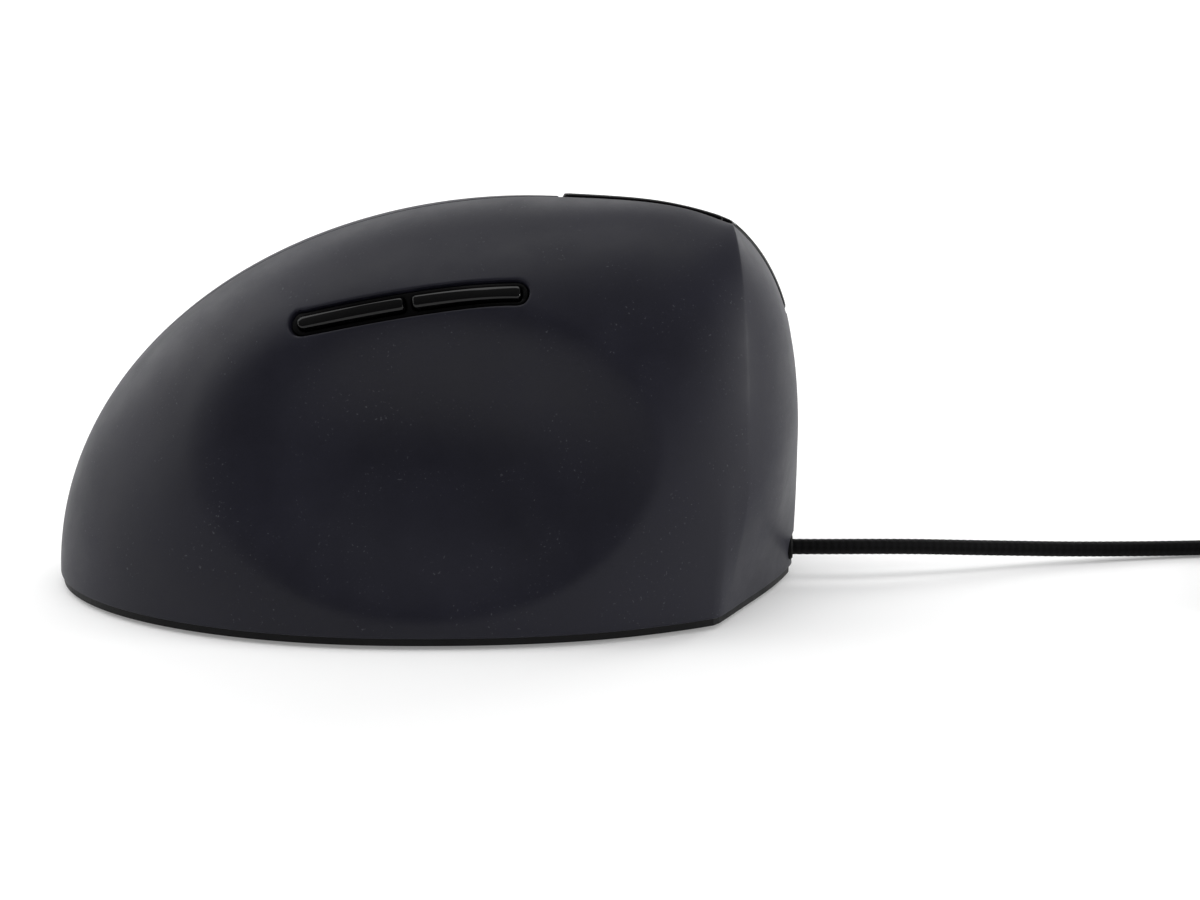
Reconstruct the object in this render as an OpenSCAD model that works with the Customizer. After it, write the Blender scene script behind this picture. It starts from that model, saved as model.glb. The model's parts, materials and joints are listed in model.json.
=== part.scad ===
// Left-handed upright computer mouse with a corded USB plug.
// +X is the front where the cord leaves, -Y the thumb side, +Y the finger side, +Z up.
// The origin is on the table under the middle of the mouse body.

/* [Body] */
// Length of the body from its centre forwards
nose_len = 59.4; // [56:0.1:62]
// Length of the body from its centre to the back
tail_len = 60.6; // [57:0.1:63]
// Half width of the base on the thumb side
thumb_half = 38.8; // [37:0.1:40]
// Half width of the base on the finger side
finger_half = 37.2; // [36:0.1:39]
// Height of the top ridge over the table
ridge_top = 65.2; // [64:0.1:67]
// How much lower the ridge is at its front end
ridge_drop = 3.2; // [2.8:0.1:3.6]
// Wall thickness of the shells
wall = 2.2; // [2:0.1:2.4]
// Depth of the hollow for the thumb
dish_depth = 10.5; // [9:0.5:11]

/* [Buttons] */
// How far the finger buttons stand proud of the shell
button_proud = 0.5; // [0.4:0.05:0.6]
// Gap between a button and its neighbours
seam = 0.35; // [0.3:0.05:0.4]
// How far the side buttons stand proud of their surround
side_proud = 0.8; // [0.6:0.1:0.9]

/* [Scroll wheel] */
// Radius of the wheel over its tyre
wheel_r = 10.5; // [10.3:0.1:10.6]
// Width of the wheel
wheel_w = 6; // [5.8:0.1:6.2]
// Depth of the wheel's axle under the finger face
wheel_depth = 7.7; // [7.6:0.1:7.8]

/* [Cord] */
// Diameter of the cord
cord_d = 2.6; // [2.5:0.1:2.7]
// Height of the cord where it leaves the nose
cord_z = 5.2; // [5.1:0.1:5.4]

/* [Hidden] */
$fn = 32;

// ---- Colours ----
coat = [0.24, 0.24, 0.27];
gloss = [0.05, 0.05, 0.06];
plain_black = [0.10, 0.10, 0.11];
board = [0.10, 0.35, 0.16];
steel = [0.70, 0.70, 0.72];
white = [0.85, 0.85, 0.85];

// ---- Body surface ----
// A place on the body is an angle and a height share. The angle is 0 at the nose, positive
// round the thumb side and negative round the finger side. The share is 0 at the lower edge
// and 1 on the ridge.
shell_z = 1.8;
axis_y = 0.8;
tail_power = 2.05;
nose_power = 2.35;
ridge_x = [20, 48];
ridge_y = [-5, -10];
crease_at = 27;
crease_amp = 2;
tuck_end = 31;
tuck_depth = 3;
tuck_ridge = 0.9;
tuck_high = 0.45;
finger_corner = 14;
nose_swell = 0.9;
corner_r = 0.6;
dish_x = 0;
dish_z = 30;
dish_a = 37.5;
dish_b = 25.5;

function mix(a, b, f) = a + (b - a) * f;
function clamp01(f) = min(1, max(0, f));
function smooth(f) = let (c = clamp01(f)) c * c * (3 - 2 * c);

// The lower nose is cut back between its middle and the crease, where a short ridge stands out
function tuck(p, h) =
    let (low = 1 - smooth(h / tuck_high))
    let (cut = p > 0 && p < tuck_end ? tuck_depth * sin(180 * p / tuck_end) : 0)
    low * (tuck_ridge * pow(max(0, 1 - abs(p - tuck_end) / 14), 2) - cut);
function outline_r(p, inset, h) =
    let (a = (cos(p) > 0 ? nose_len : tail_len) - inset)
    let (b = (sin(p) > 0 ? thumb_half : finger_half) - inset)
    let (n = mix(tail_power, nose_power, smooth((1 + cos(p)) / 2)))
    pow(pow(abs(cos(p)) / a, n) + pow(abs(sin(p)) / b, n), -1 / n) + tuck(p, h);
function outline(p, inset, h = 0) =
    let (r = outline_r(p, inset, h))
    [r * cos(p), axis_y - r * sin(p)];
function ridge_share(p) =
    let (edge = p > 0 ? crease_at : finger_corner)
    let (f = (abs(p) - edge) / (180 - edge))
    f <= 0 ? 1 : (1 + cos(180 * f)) / 2;
function side_share(p) = p > 0 ? 0 : smooth((180 - abs(p)) / 80);
function nose_share(p) = smooth((62 - abs(p)) / 62);
function lean_power(p) = mix(mix(2, 1.5, side_share(p)), 1, nose_share(p));
function rise_power(p) = mix(mix(2, 1.7, side_share(p)), 4.8, nose_share(p));
function lean(p, h) = 1 - pow(max(0, 1 - pow(h, rise_power(p))), 1 / lean_power(p));
function crease(p, h) =
    let (wide = p > crease_at ? 34 : crease_at)
    let (t = max(0, 1 - abs(p - crease_at) / wide))
    p > 0 ? crease_amp * t * t * smooth(h / 0.35) * sqrt(max(0, 1 - lean(p, h))) : 0;
function dish(x, z) =
    let (u = (x - dish_x) / dish_a)
    let (v = (z - dish_z) / dish_b)
    let (low = smooth(0.5 + 0.7 * (0.75 * u - 0.66 * v)))
    dish_depth * pow(max(0, 1 - u * u - v * v), mix(2, 1.35, low));
function skin(p, h, inset) =
    let (b = outline(p, inset, h))
    let (q = ridge_share(p))
    let (w = lean(p, h))
    let (z = mix(shell_z, ridge_top - ridge_drop * pow(q, 4) - inset, h))
    let (tip = corner_r * smooth((70 - abs(p)) / 45) * w)
    let (out = nose_swell * smooth((60 - abs(p)) / 60) * 4 * h * (1 - h) + crease(p, h) + tip)
    let (x = mix(b[0], mix(ridge_x[0], ridge_x[1], q), w) + out * cos(p))
    let (y = mix(b[1], mix(ridge_y[0], ridge_y[1], q), w) - out * sin(p))
    [x, y + (p > 0 ? dish(x, z) : 0), z];

// The angle at which the finger side reaches x at the height share h
function angle_at(x, h, low = -176, high = -2, steps = 16) =
    let (p = (low + high) / 2)
    steps == 0 ? p
    : skin(p, h, 0)[0] < x ? angle_at(x, h, p, high, steps - 1)
    : angle_at(x, h, low, p, steps - 1);

// ---- Wall patches ----
// A patch is a grid of [angle, share] rows between an outer and an inner skin. Each hole is
// [first column, last column, first row, last row], counted in cells.
function steps(a, b, n) = [for (i = [0 : n]) mix(a, b, i / n)];
function joined(lists) = [for (l = lists) for (v = l) v];
function kept(i, j, nu, nv, holes) =
    i >= 0 && j >= 0 && i < nu && j < nv
    && len([for (o = holes) if (i >= o[0] && i < o[1] && j >= o[2] && j < o[3]) 1]) == 0;

module patch(grid, outer, inner, holes = []) {
    nv = len(grid) - 1;
    nu = len(grid[0]) - 1;
    layer = (nu + 1) * (nv + 1);
    points = [for (inset = [outer, inner]) for (row = grid) for (c = row) skin(c[0], c[1], inset)];
    cells = [for (j = [0 : nv - 1]) for (i = [0 : nu - 1]) if (kept(i, j, nu, nv, holes)) [i, j]];
    faces = [for (c = cells)
        let (i = c[0], j = c[1])
        let (a = j * (nu + 1) + i, b = a + 1, d = a + nu + 1, e = d + 1)
        let (a2 = a + layer, b2 = b + layer, d2 = d + layer, e2 = e + layer)
        each concat(
            [[a, b, e], [a, e, d], [a2, e2, b2], [a2, d2, e2]],
            kept(i, j - 1, nu, nv, holes) ? [] : [[b, a, a2], [b, a2, b2]],
            kept(i + 1, j, nu, nv, holes) ? [] : [[e, b, b2], [e, b2, e2]],
            kept(i, j + 1, nu, nv, holes) ? [] : [[d, e, e2], [d, e2, d2]],
            kept(i - 1, j, nu, nv, holes) ? [] : [[a, d, d2], [a, d2, a2]])];
    polyhedron(points, faces);
}

// ---- Side button arc on the thumb side ----
arc_mid = 118;
arc_span = 25;
arc_ends = [92, 144.5];
arc_split = 121.6;
opening_half = 0.042;
function arc_share(p) =
    let (t = min(1.1, max(-1.1, (p - arc_mid) / arc_span)))
    0.805 - 0.0495 * t - 0.0205 * t * t;
function near_top(from, n) = [for (i = [1 : n]) sin(mix(asin(from), 90, i / n))];

// ---- Finger side layout ----
strip_low = 0.555;
strip_high = 0.70;
middle_low = 0.27;
strip_proud = 0.4;
seam_share = 0.0045;
nose_seam = -4;
middle_nose = -9;
function rear_x(h) = 2 + 19.7 * h;
// Angle of the front edge of a button, which keeps its gap where the angles crowd together
function front_angle(at, h) = at - min(30, 1.5 * seam / max(0.014, 1 - lean(at, h)));
function finger_rows(low, high, n) = [for (i = [0 : n]) sin(mix(asin(low), asin(high), i / n))];
function finger_grid(low, high, at, back, nu, nv) = [for (h = finger_rows(low, high, nv))
    let (rear = angle_at(rear_x(h) + back, h))
    let (front = front_angle(at, h))
    [for (i = [0 : nu]) [mix(rear, front, pow(i / nu, 0.8)), h]]];

// ---- Local frames ----
wheel_x = 34;
wheel_share = (strip_low + strip_high) / 2;
finger_tilt = 56;
finger_origin = skin(angle_at(wheel_x, wheel_share), wheel_share, 0);
thumb_origin = [-1, -23.4, 52.5];
thumb_tilt = 60;
thumb_yaw = -10;
module on_finger() translate(finger_origin) rotate([-finger_tilt, 0, 0]) children();
module on_thumb() translate(thumb_origin) rotate([thumb_tilt, 0, 0]) rotate([0, thumb_yaw, 0]) children();

// ---- Inner layout, in the finger frame unless a name says otherwise ----
frame_top = -13.2;
frame_thick = 2.4;
pcb_thick = 1.6;
switch_size = [12.8, 5.8, 6.6];
plunger_rise = 0.7;
press_gap = 0.05;
axle_r = 1.25;
run_gap = 0.05;
index_y = -15;
middle_y = 14;
switch_x = -3;
stem_x = switch_x + 2;
index_hinge_x = -21.5;
middle_hinge_x = -25;
hinge_z = -7;
dpi_x = -15.5;
pcb_top = frame_top + pcb_thick;
switch_top = pcb_top + switch_size[2];
base_low = 0.6;
base_top = 3.4;
board_z = 8;
tact = [6, 6, 3.4];

// ---- Shells and buttons ----
function thumb_rows(p) = let (mid = arc_share(p)) joined([steps(0, mid - opening_half, 12),
    [mid + opening_half], near_top(mid + opening_half, 7)]);
module thumb_shell() color(coat) {
    cols = joined([steps(nose_seam, crease_at, 6), [for (i = [1 : 13]) mix(crease_at, arc_ends[0], i / 13)],
        [for (i = [1 : 10]) mix(arc_ends[0], arc_ends[1], i / 10)],
        [for (i = [1 : 8]) mix(arc_ends[1], 180, i / 8)]]);
    grid = [for (j = [0 : 20]) [for (p = cols) [p, thumb_rows(p)[j]]]];
    difference() {
        union() {
            patch(grid, 0, wall, [[19, 29, 12, 13]]);
            for (at = thumb_posts) shell_post(at);
        }
        translate([50, 0, cord_z]) rotate([0, 90, 0]) cylinder(r = 2.3, h = 14);
        for (at = thumb_posts) post_bore(at);
    }
}

// Screw posts: place and height of the top
thumb_posts = [[-38, -12, 40.3], [47.5, -13, 58.8]];
palm_posts = [[-30, 20, 35.4], [24, 30.8, 16.5]];
module shell_post(at) translate([at[0], at[1], base_top]) cylinder(r = 2, h = at[2] - base_top);
module post_bore(at) translate([at[0], at[1], base_top - 1]) cylinder(r = 0.8, h = 7);

module palm_shell() color(coat) {
    skirt = middle_low - seam_share;
    heights = joined([steps(0, skirt, 5), [for (i = [1 : 14]) sin(mix(asin(skirt), 90, i / 14))]]);
    grid = [for (h = heights)
        let (rear = angle_at(rear_x(h) - seam, h))
        joined([steps(-180, rear, 16), [for (i = [1 : 14]) mix(rear, nose_seam, i / 14)]])
        ];
    difference() {
        union() {
            patch([for (j = [0 : 19]) [for (p = grid[j]) [p, heights[j]]]], 0, wall, [[16, 30, 5, 19]]);
            for (at = palm_posts) shell_post(at);
        }
        for (at = palm_posts) post_bore(at);
    }
}

module hinge_arm(x, y, high) {
    translate([0, y + 1.5, 0]) rotate([90, 0, 0]) linear_extrude(3)
        polygon([[x, hinge_z - 1.8], [x, hinge_z + 1.4], [x + 5.5, hinge_z + 1.4],
            [x + 6.3, high], [x + 9.3, high], [x + 9.3, hinge_z - 1.8]]);
    translate([x, y - 5.5, hinge_z]) rotate([-90, 0, 0]) cylinder(r = axle_r, h = 11);
}

module press_stem(x, y) translate([x, y, switch_top + plunger_rise + press_gap]) cylinder(r = 1.4, h = 2.4);

module index_button() color(gloss) {
    patch(finger_grid(strip_high + seam_share, 0.9988, nose_seam, seam, 18, 9), -button_proud, 1.5);
    on_finger() {
        hinge_arm(index_hinge_x, index_y, -2.4);
        press_stem(stem_x, index_y);
    }
}

module middle_button() color(gloss) {
    patch(finger_grid(middle_low + seam_share, strip_low - seam_share, middle_nose, seam, 18, 7),
        -button_proud, 1.5);
    on_finger() {
        hinge_arm(middle_hinge_x, middle_y, -1.2);
        press_stem(stem_x, middle_y);
    }
}

module slot_prism(length, width, low, high) translate([0, 0, low]) linear_extrude(high - low) {
    square([length - width, width], center = true);
    for (s = [-1, 1]) translate([s * (length - width) / 2, 0]) circle(width / 2);
}

module wheel_strip() color(gloss) difference() {
    patch(
        finger_grid(strip_low + seam_share, strip_high - seam_share, nose_seam - 1, seam, 16, 4),
        -strip_proud, 2.2
    );
    on_finger() {
        slot_prism(21, wheel_w + 1.4, -6, 4);
        translate([dpi_x, 0, 0]) slot_prism(6.6, 4.2, -6, 4);
    }
}

module wheel_hub() color(plain_black) on_finger() translate([0, 0, -wheel_depth]) rotate([-90, 0, 0]) {
    difference() {
        cylinder(r = wheel_r - 1.8, h = wheel_w - 0.6, center = true);
        for (k = [0 : 5]) rotate([0, 0, 60 * k]) translate([5.2, 0, -5]) cylinder(r = 1.5, h = 10);
    }
    translate([0, 0, -6.2]) cylinder(r = axle_r, h = 16);
}

module wheel_tyre() color(plain_black) on_finger() translate([0, 0, -wheel_depth]) rotate([-90, 0, 0])
    difference() {
        rotate_extrude($fn = 64) polygon([[wheel_r - 1.8, -wheel_w / 2], [wheel_r - 0.5, -wheel_w / 2],
            [wheel_r, 0.5 - wheel_w / 2], [wheel_r, wheel_w / 2 - 0.5], [wheel_r - 0.5, wheel_w / 2],
            [wheel_r - 1.8, wheel_w / 2]]);
        for (k = [0 : 23]) rotate([0, 0, 15 * k]) translate([wheel_r + 0.1, 0, 0])
            cube([1, 0.9, wheel_w + 1], center = true);
    }

module dpi_button() color(gloss) on_finger() translate([dpi_x, 0, 0]) {
    slot_prism(6, 3.6, -3.6, 0.9);
    slot_prism(8, 5.2, -4.6, -3.6);
    translate([0, 0, pcb_top + tact[2] + plunger_rise + press_gap]) cylinder(r = 1.3, h = 3.2);
}

// ---- Side buttons ----
function arc_grid(p0, p1, low, high, nu, nv) = [for (j = [0 : nv]) [for (i = [0 : nu])
    let (p = mix(p0, p1, i / nu))
    [p, arc_share(p) + mix(low, high, j / nv)]]];

side_post_at = [[-20.4, -3.2], [17.7, -0.3]];
side_board_top = -8.6;
side_switch_top = side_board_top + tact[2];
back_stem = [-8, -1.8];
forward_stem = [9, -0.3];
stem_r = 0.8;

module bezel_ring(ends, half, slack, outer, inner) {
    cols = joined([[arc_ends[0] + ends], steps(arc_ends[0] + 1.5 - slack, arc_split - 0.5 + slack / 2, 8),
        steps(arc_split + 0.5 - slack / 2, arc_ends[1] - 1.5 + slack, 8), [arc_ends[1] - ends * 1.2]]);
    levels = [-half, -0.0245 - slack / 100, 0.0245 + slack / 100, half];
    patch([for (d = levels) [for (p = cols) [p, arc_share(p) + d]]], outer, inner,
        [[1, 9, 1, 2], [10, 18, 1, 2]]);
}
module side_bezel() color(plain_black) {
    bezel_ring(0.45, 0.039, 0, 0.5, 2.9);
    bezel_ring(-3, 0.054, 0.1, 2.45, 3.3);
    on_thumb() for (at = side_post_at) translate([at[0], at[1], side_board_top]) cylinder(r = 1.3, h = 4.6);
}

module side_button(p0, p1, stem) color(gloss) {
    patch(arc_grid(p0, p1, -0.0205, 0.0205, 10, 2), 0.5 - side_proud, 3.1);
    on_thumb() translate([stem[0], stem[1], side_switch_top + plunger_rise + press_gap])
        cylinder(r = stem_r, h = 2.2);
}
module back_button() side_button(arc_split + 1, arc_ends[1] - 2.3, back_stem);
module forward_button() side_button(arc_ends[0] + 2.7, arc_split - 1.1, forward_stem);

module side_pcb() color(board) on_thumb() difference() {
    translate([-23, -6, side_board_top - pcb_thick]) cube([43.5, 9, pcb_thick]);
    for (at = side_post_at) translate([at[0], at[1], side_board_top - 3]) cylinder(r = 0.9, h = 2.9);
}
module side_screws() color(steel) on_thumb() for (at = side_post_at)
    translate([at[0], at[1], side_board_top - pcb_thick]) mirror([0, 0, 1]) cylinder(r = 1.5, h = 1.1);

// ---- Switches ----
module tact_body() difference() {
    translate([-tact[0] / 2, -tact[1] / 2, 0]) cube(tact);
    translate([0, 0, tact[2] - 1.6]) cylinder(r = 1.6, h = 3);
}
module tact_plunger() translate([0, 0, tact[2] - 1]) cylinder(r = 1.55, h = 1 + plunger_rise);
module micro_body() difference() {
    translate([-switch_size[0] / 2, -switch_size[1] / 2, 0]) cube(switch_size);
    translate([stem_x - switch_x, 0, switch_size[2] - 1.6]) cylinder(r = 1.35, h = 3);
}
module micro_plunger() translate([stem_x - switch_x, 0, switch_size[2] - 1])
    cylinder(r = 1.3, h = 1 + plunger_rise);
module on_board(x, y) on_finger() translate([x, y, pcb_top]) children();
module index_switch() color(plain_black) on_board(switch_x, index_y) micro_body();
module middle_switch() color(plain_black) on_board(switch_x, middle_y) micro_body();
module index_plunger() color(white) on_board(switch_x, index_y) micro_plunger();
module middle_plunger() color(white) on_board(switch_x, middle_y) micro_plunger();
module dpi_switch() color(plain_black) on_board(dpi_x, 0) tact_body();
module dpi_plunger() color(white) on_board(dpi_x, 0) tact_plunger();
module on_side(at) on_thumb() translate([at[0], at[1], side_board_top]) children();
module back_switch() color(plain_black) on_side(back_stem) tact_body();
module back_plunger() color(white) on_side(back_stem) tact_plunger();
module forward_switch() color(plain_black) on_side(forward_stem) tact_body();
module forward_plunger() color(white) on_side(forward_stem) tact_plunger();

// ---- Wheel carrier and encoder ----
carrier_reach = 5.8;
carrier_low = -20.6;
module upright(y) translate([-3, y, carrier_low]) cube([6, 1.6, 15.2]);
module wheel_carrier() color(white) on_finger() difference() {
    union() {
        upright(-carrier_reach);
        upright(carrier_reach - 1.6);
        translate([-3, -carrier_reach, carrier_low]) cube([6, 2 * carrier_reach, 1.4]);
    }
    translate([0, 0, -wheel_depth]) rotate([-90, 0, 0]) cylinder(r = axle_r + run_gap, h = 30, center = true);
}
module wheel_encoder() color(plain_black) on_finger() difference() {
    translate([-4, carrier_reach, -11]) cube([8, 3.4, 6.8]);
    translate([0, 0, -wheel_depth]) rotate([-90, 0, 0]) cylinder(r = axle_r + run_gap, h = 20);
}
click_switch_z = carrier_low - press_gap - plunger_rise - tact[2];
module wheel_switch() color(plain_black) on_finger() translate([0, 0, click_switch_z]) tact_body();
module wheel_plunger() color(white) on_finger() translate([0, 0, click_switch_z]) tact_plunger();

// ---- Finger side board and frame ----
module ear(x, y) difference() {
    translate([x - 2.4, y, frame_top - 1]) cube([4.8, 1.5, 1 - frame_top + hinge_z + 2.2]);
    translate([x, y - 1, hinge_z]) rotate([-90, 0, 0]) cylinder(r = axle_r + run_gap, h = 4);
}
// A place in the finger frame, as [y, z] of the body
function finger_point(y, z) = [finger_origin[1] + y * cos(finger_tilt) + z * sin(finger_tilt),
    finger_origin[2] - y * sin(finger_tilt) + z * cos(finger_tilt)];
module leg(x) translate([x, 0, 0]) rotate([90, 0, 90]) linear_extrude(2)
    polygon([finger_point(-20, -14.6), finger_point(17.5, -14.6), [19, base_top], [8, base_top], [8, 12],
        finger_point(-19, -19)]);
leg_x = [5, 43];
foot_y = 13;
module inner_frame() color([0.2, 0.2, 0.2]) {
    on_finger() {
        difference() {
            translate([-31, -21, frame_top - frame_thick]) cube([43, 39, frame_thick]);
            translate([-10.5, -7, frame_top - 5]) cube([21, 14, 10]);
        }
        for (s = [-1, 1]) {
            ear(index_hinge_x, index_y + s * 4 - 0.75);
            ear(middle_hinge_x, middle_y + s * 4 - 0.75);
            translate([-4, s * 7.4 - 0.8, click_switch_z - 1.8])
                cube([8, 1.6, frame_top - frame_thick - click_switch_z + 2.3]);
        }
        translate([-4, -8.2, click_switch_z - 1.8]) cube([8, 16.4, 1.8]);
    }
    for (x = leg_x) {
        leg(x);
        difference() {
            translate([x - 2.5, foot_y - 4, base_top]) cube([7, 8, 5]);
            translate([x + 1, foot_y, base_top - 1]) cylinder(r = 0.8, h = 5);
        }
    }
}
module button_pcb() color(board) on_finger() difference() {
    translate([-18.8, -20.5, frame_top]) cube([30.3, 38, pcb_thick]);
    translate([-10.5, -7, frame_top - 1]) cube([21, 14, 4]);
}

// ---- Base, main board and sensor ----
sensor_at = [10, -5];
board_posts = [for (x = [-11, 39]) for (y = [-22, 2]) [x, y]];
screw_at = concat(thumb_posts, palm_posts, [for (x = leg_x) [x + 1, foot_y]]);
module base_plate() color(plain_black) difference() {
    union() {
        translate([0, 0, base_low]) linear_extrude(shell_z - base_low)
            polygon([for (p = [-180 : 1.5 : 178.5]) outline(p, 0.45)]);
        translate([0, 0, shell_z]) linear_extrude(base_top - shell_z)
            polygon([for (p = [-180 : 3 : 177]) outline(p, wall + 0.9)]);
        for (at = board_posts) translate([at[0], at[1], base_top - 0.5])
            cylinder(r = 2.2, h = board_z - base_top + 0.5);
    }
    for (at = board_posts) translate([at[0], at[1], board_z - 4.5]) cylinder(r = 0.8, h = 5);
    translate([53, -4, shell_z]) cube([6, 8, 3]);
    translate([sensor_at[0], sensor_at[1], 0]) slot_prism(15, 9, 0, 5);
    for (at = screw_at) translate([at[0], at[1], 0]) screw_well();
}
module screw_well() {
    cylinder(r = 1.1, h = 5);
    cylinder(r = 2.2, h = 2);
}
module base_screws() color(steel) for (at = screw_at) translate([at[0], at[1], 2]) {
    mirror([0, 0, 1]) cylinder(r = 1.9, h = 1.1);
    cylinder(r = 0.75, h = 5.8);
}
module glide(x, y, length, width) translate([x, y, 0]) slot_prism(length, width, 0, base_low);
module front_glide() color(white) translate([50, 0, 0]) rotate([0, 0, 90]) glide(0, 0, 24, 6);
module rear_glide() color(white) translate([-49, 2, 0]) rotate([0, 0, 90]) glide(0, 0, 26, 6);
module thumb_glide() color(white) glide(2, -32, 30, 5);

module main_pcb() color(board) difference() {
    translate([-14, -25, board_z]) cube([56, 30, pcb_thick]);
    translate([sensor_at[0], sensor_at[1], board_z - 1]) cylinder(r = 3.2, h = 4);
    for (at = board_posts) translate([at[0], at[1], board_z - 1]) cylinder(r = 1.1, h = 4);
}
board_top = board_z + pcb_thick;
module sensor_chip() color(plain_black) translate([sensor_at[0] - 5, sensor_at[1] - 6, board_top])
    cube([10, 12, 2.6]);
module sensor_lens() color([0.8, 0.9, 1, 0.5]) translate([sensor_at[0], sensor_at[1], 0]) {
    slot_prism(17.5, 11.5, base_top + 0.1, base_top + 1.3);
    translate([0, 0, 1.4]) cylinder(r = 2.8, h = board_top - 1.5);
}
module sensor_led() color([0.9, 0.2, 0.15]) translate([sensor_at[0] + 9.5, sensor_at[1], board_top]) {
    cylinder(r = 1.5, h = 3);
    translate([0, 0, 3]) sphere(1.5);
}
module controller_chip() color(plain_black) translate([24, -20, board_top]) cube([9, 7, 1.5]);
module cord_socket() color(white) translate([37, -13, board_top]) difference() {
    cube([4.6, 8, 5]);
    translate([1, 1, 1.2]) cube([5, 6, 2.8]);
}
module pcb_screws() color(steel) for (at = board_posts) translate([at[0], at[1], board_top]) {
    cylinder(r = 1.9, h = 1.3);
    translate([0, 0, -5]) cylinder(r = 0.75, h = 5);
}

// ---- Swept round forms ----
function unit(v) = v / norm(v);
function tangent(path, i) =
    unit(path[min(i + 1, len(path) - 1)] - path[max(i - 1, 0)]);
module tube(path, r, sides) {
    n = len(path);
    points = [for (i = [0 : n - 1])
        let (t = tangent(path, i), side = unit(cross(t, [0, 0.02, 1])), up = cross(side, t))
        for (k = [0 : sides - 1]) path[i] + r * (cos(360 * k / sides) * side + sin(360 * k / sides) * up)];
    walls = [for (i = [0 : n - 2]) for (k = [0 : sides - 1])
        let (a = i * sides + k, b = i * sides + (k + 1) % sides)
        each [[a, b, b + sides], [a, b + sides, a + sides]]];
    polyhedron(points, concat(walls, [[for (k = [sides - 1 : -1 : 0]) k],
        [for (k = [0 : sides - 1]) (n - 1) * sides + k]]));
}
// A smooth curve through round-number points
function curve_at(pts, i, f) =
    let (a = pts[max(i - 1, 0)], b = pts[i], c = pts[i + 1], d = pts[min(i + 2, len(pts) - 1)])
    b + 0.5 * f * (c - a + f * (2 * a - 5 * b + 4 * c - d + f * (3 * (b - c) + d - a)));
function curve(pts, n) = concat([for (i = [0 : len(pts) - 2]) for (k = [0 : n - 1]) curve_at(pts, i, k / n)],
    [pts[len(pts) - 1]]);

// ---- Cables ----
wire_route = [[55.5, 0, cord_z], [53, 0, 5.6], [50, -2, 8], [47, -6, 10.8], [44, -8.6, 12], [41.4, -9, 12]];
module cord_wires() color(plain_black) tube(curve(wire_route, 3), 0.9, 8);
module flat_cable(x, width, pts) translate([x, 0, 0]) rotate([90, 0, 90]) linear_extrude(width) polygon(pts);
module ribbon_cable() color(white) flat_cable(24.2, 5.4, [[-4, board_top], [-4, 20], [1.4, 33],
    [7.4, 37.2], [8, 36.4], [2.2, 32.2], [-3, 19.8], [-3, board_top]]);
module side_ribbon() color(white) flat_cable(-6, 8, [[-19, board_top], [-19, 20], [-16, 43], [-15, 43],
    [-18, 20], [-18, board_top]]);
module strain_relief() color(plain_black) translate([0, 0, cord_z]) rotate([0, 90, 0]) {
    translate([0, 0, 55.6]) rotate_extrude() polygon([[0, 0], [3.4, 0], [3.4, 1.2], [2.1, 1.2], [2.1, 3.6],
        [1.8, 3.9], [0, 3.9]]);
}
lead_points = [[59.5, 0, 5.2], [66, 0, 5.2], [72, 0.4, 5.1], [80, 1.6, 4.7], [88, 3.4, 4], [97, 5.8, 3.1],
    [106, 8, 2.3], [116, 10, 1.7], [126, 11.4, 1.4], [136, 12.2, 1.4], [144, 12.4, 1.4], [150, 12.4, 1.4]];
coil_at = [152, -6.5];
coil_inner = 9.6;
coil_outer = 20.2;
coil_low = 0.5;
coil_high = 10.9;
tail_points = [[136.4, -7, 9.2], [135.4, -2, 9.1], [134.4, 4, 8.4], [134, 10, 7.2], [134.6, 16, 5.8],
    [136.8, 21.6, 4.7], [140.6, 25.8, 4.2], [145.6, 28, 4.1], [151, 28.4, 4.1]];
module cord_lead() color(plain_black) tube(curve(lead_points, 4), cord_d / 2, 8);
module cord_tail() color(plain_black) tube(curve(tail_points, 4), cord_d / 2, 8);
module cord_coil() color(plain_black) translate([coil_at[0], coil_at[1], 0]) rotate_extrude($fn = 64)
    polygon([[coil_inner, coil_low + 2], [coil_inner + 2, coil_low], [coil_outer - 2, coil_low],
        [coil_outer, coil_low + 2], [coil_outer, coil_high - 2], [coil_outer - 2, coil_high],
        [coil_inner + 2, coil_high], [coil_inner, coil_high - 2]]);
module cord_tie() color(plain_black) translate([coil_at[0], coil_at[1], 0]) rotate([0, 0, -45])
    translate([(coil_inner + coil_outer) / 2, 0, 5.7]) rotate([90, 0, 0])
    linear_extrude(5, center = true) difference() {
        square([12.2, 11.4], center = true);
        square([10.2, 9.8], center = true);
    }

// ---- USB plug ----
plug_at = [151, 28.4, 4.1];
boot_len = 9;
grip_size = [25, 15.6, 8];
grip_round = 2.5;
shell_size = [14, 12, 4.5];
shell_wall = 0.3;
module on_plug(x) translate(plug_at + [x, 0, 0]) children();
module bar(size) translate([0, -size[1] / 2, -size[2] / 2]) cube(size);
module plug_body() color(plain_black) {
    on_plug(0) rotate([0, 90, 0]) rotate_extrude()
        polygon([[0, 0], [1.9, 0], [2.9, boot_len], [0, boot_len]]);
    on_plug(boot_len) rotate([90, 0, 90]) linear_extrude(grip_size[0]) {
        for (y = [-1, 1]) for (z = [-1, 1])
            translate([y * (grip_size[1] / 2 - grip_round), z * (grip_size[2] / 2 - grip_round)])
                circle(grip_round);
        square([grip_size[1] - 2 * grip_round, grip_size[2]], center = true);
        square([grip_size[1], grip_size[2] - 2 * grip_round], center = true);
    }
}
module plug_shell() color(steel) on_plug(boot_len + grip_size[0]) difference() {
    bar(shell_size);
    translate([-1, 0, 0]) bar(shell_size + [2, -2 * shell_wall, -2 * shell_wall]);
}
module plug_tongue() color(white) on_plug(boot_len + grip_size[0]) translate([0, 0, 0.9])
    bar([shell_size[0] - 0.6, shell_size[1] - 0.9, 1.8]);

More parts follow.
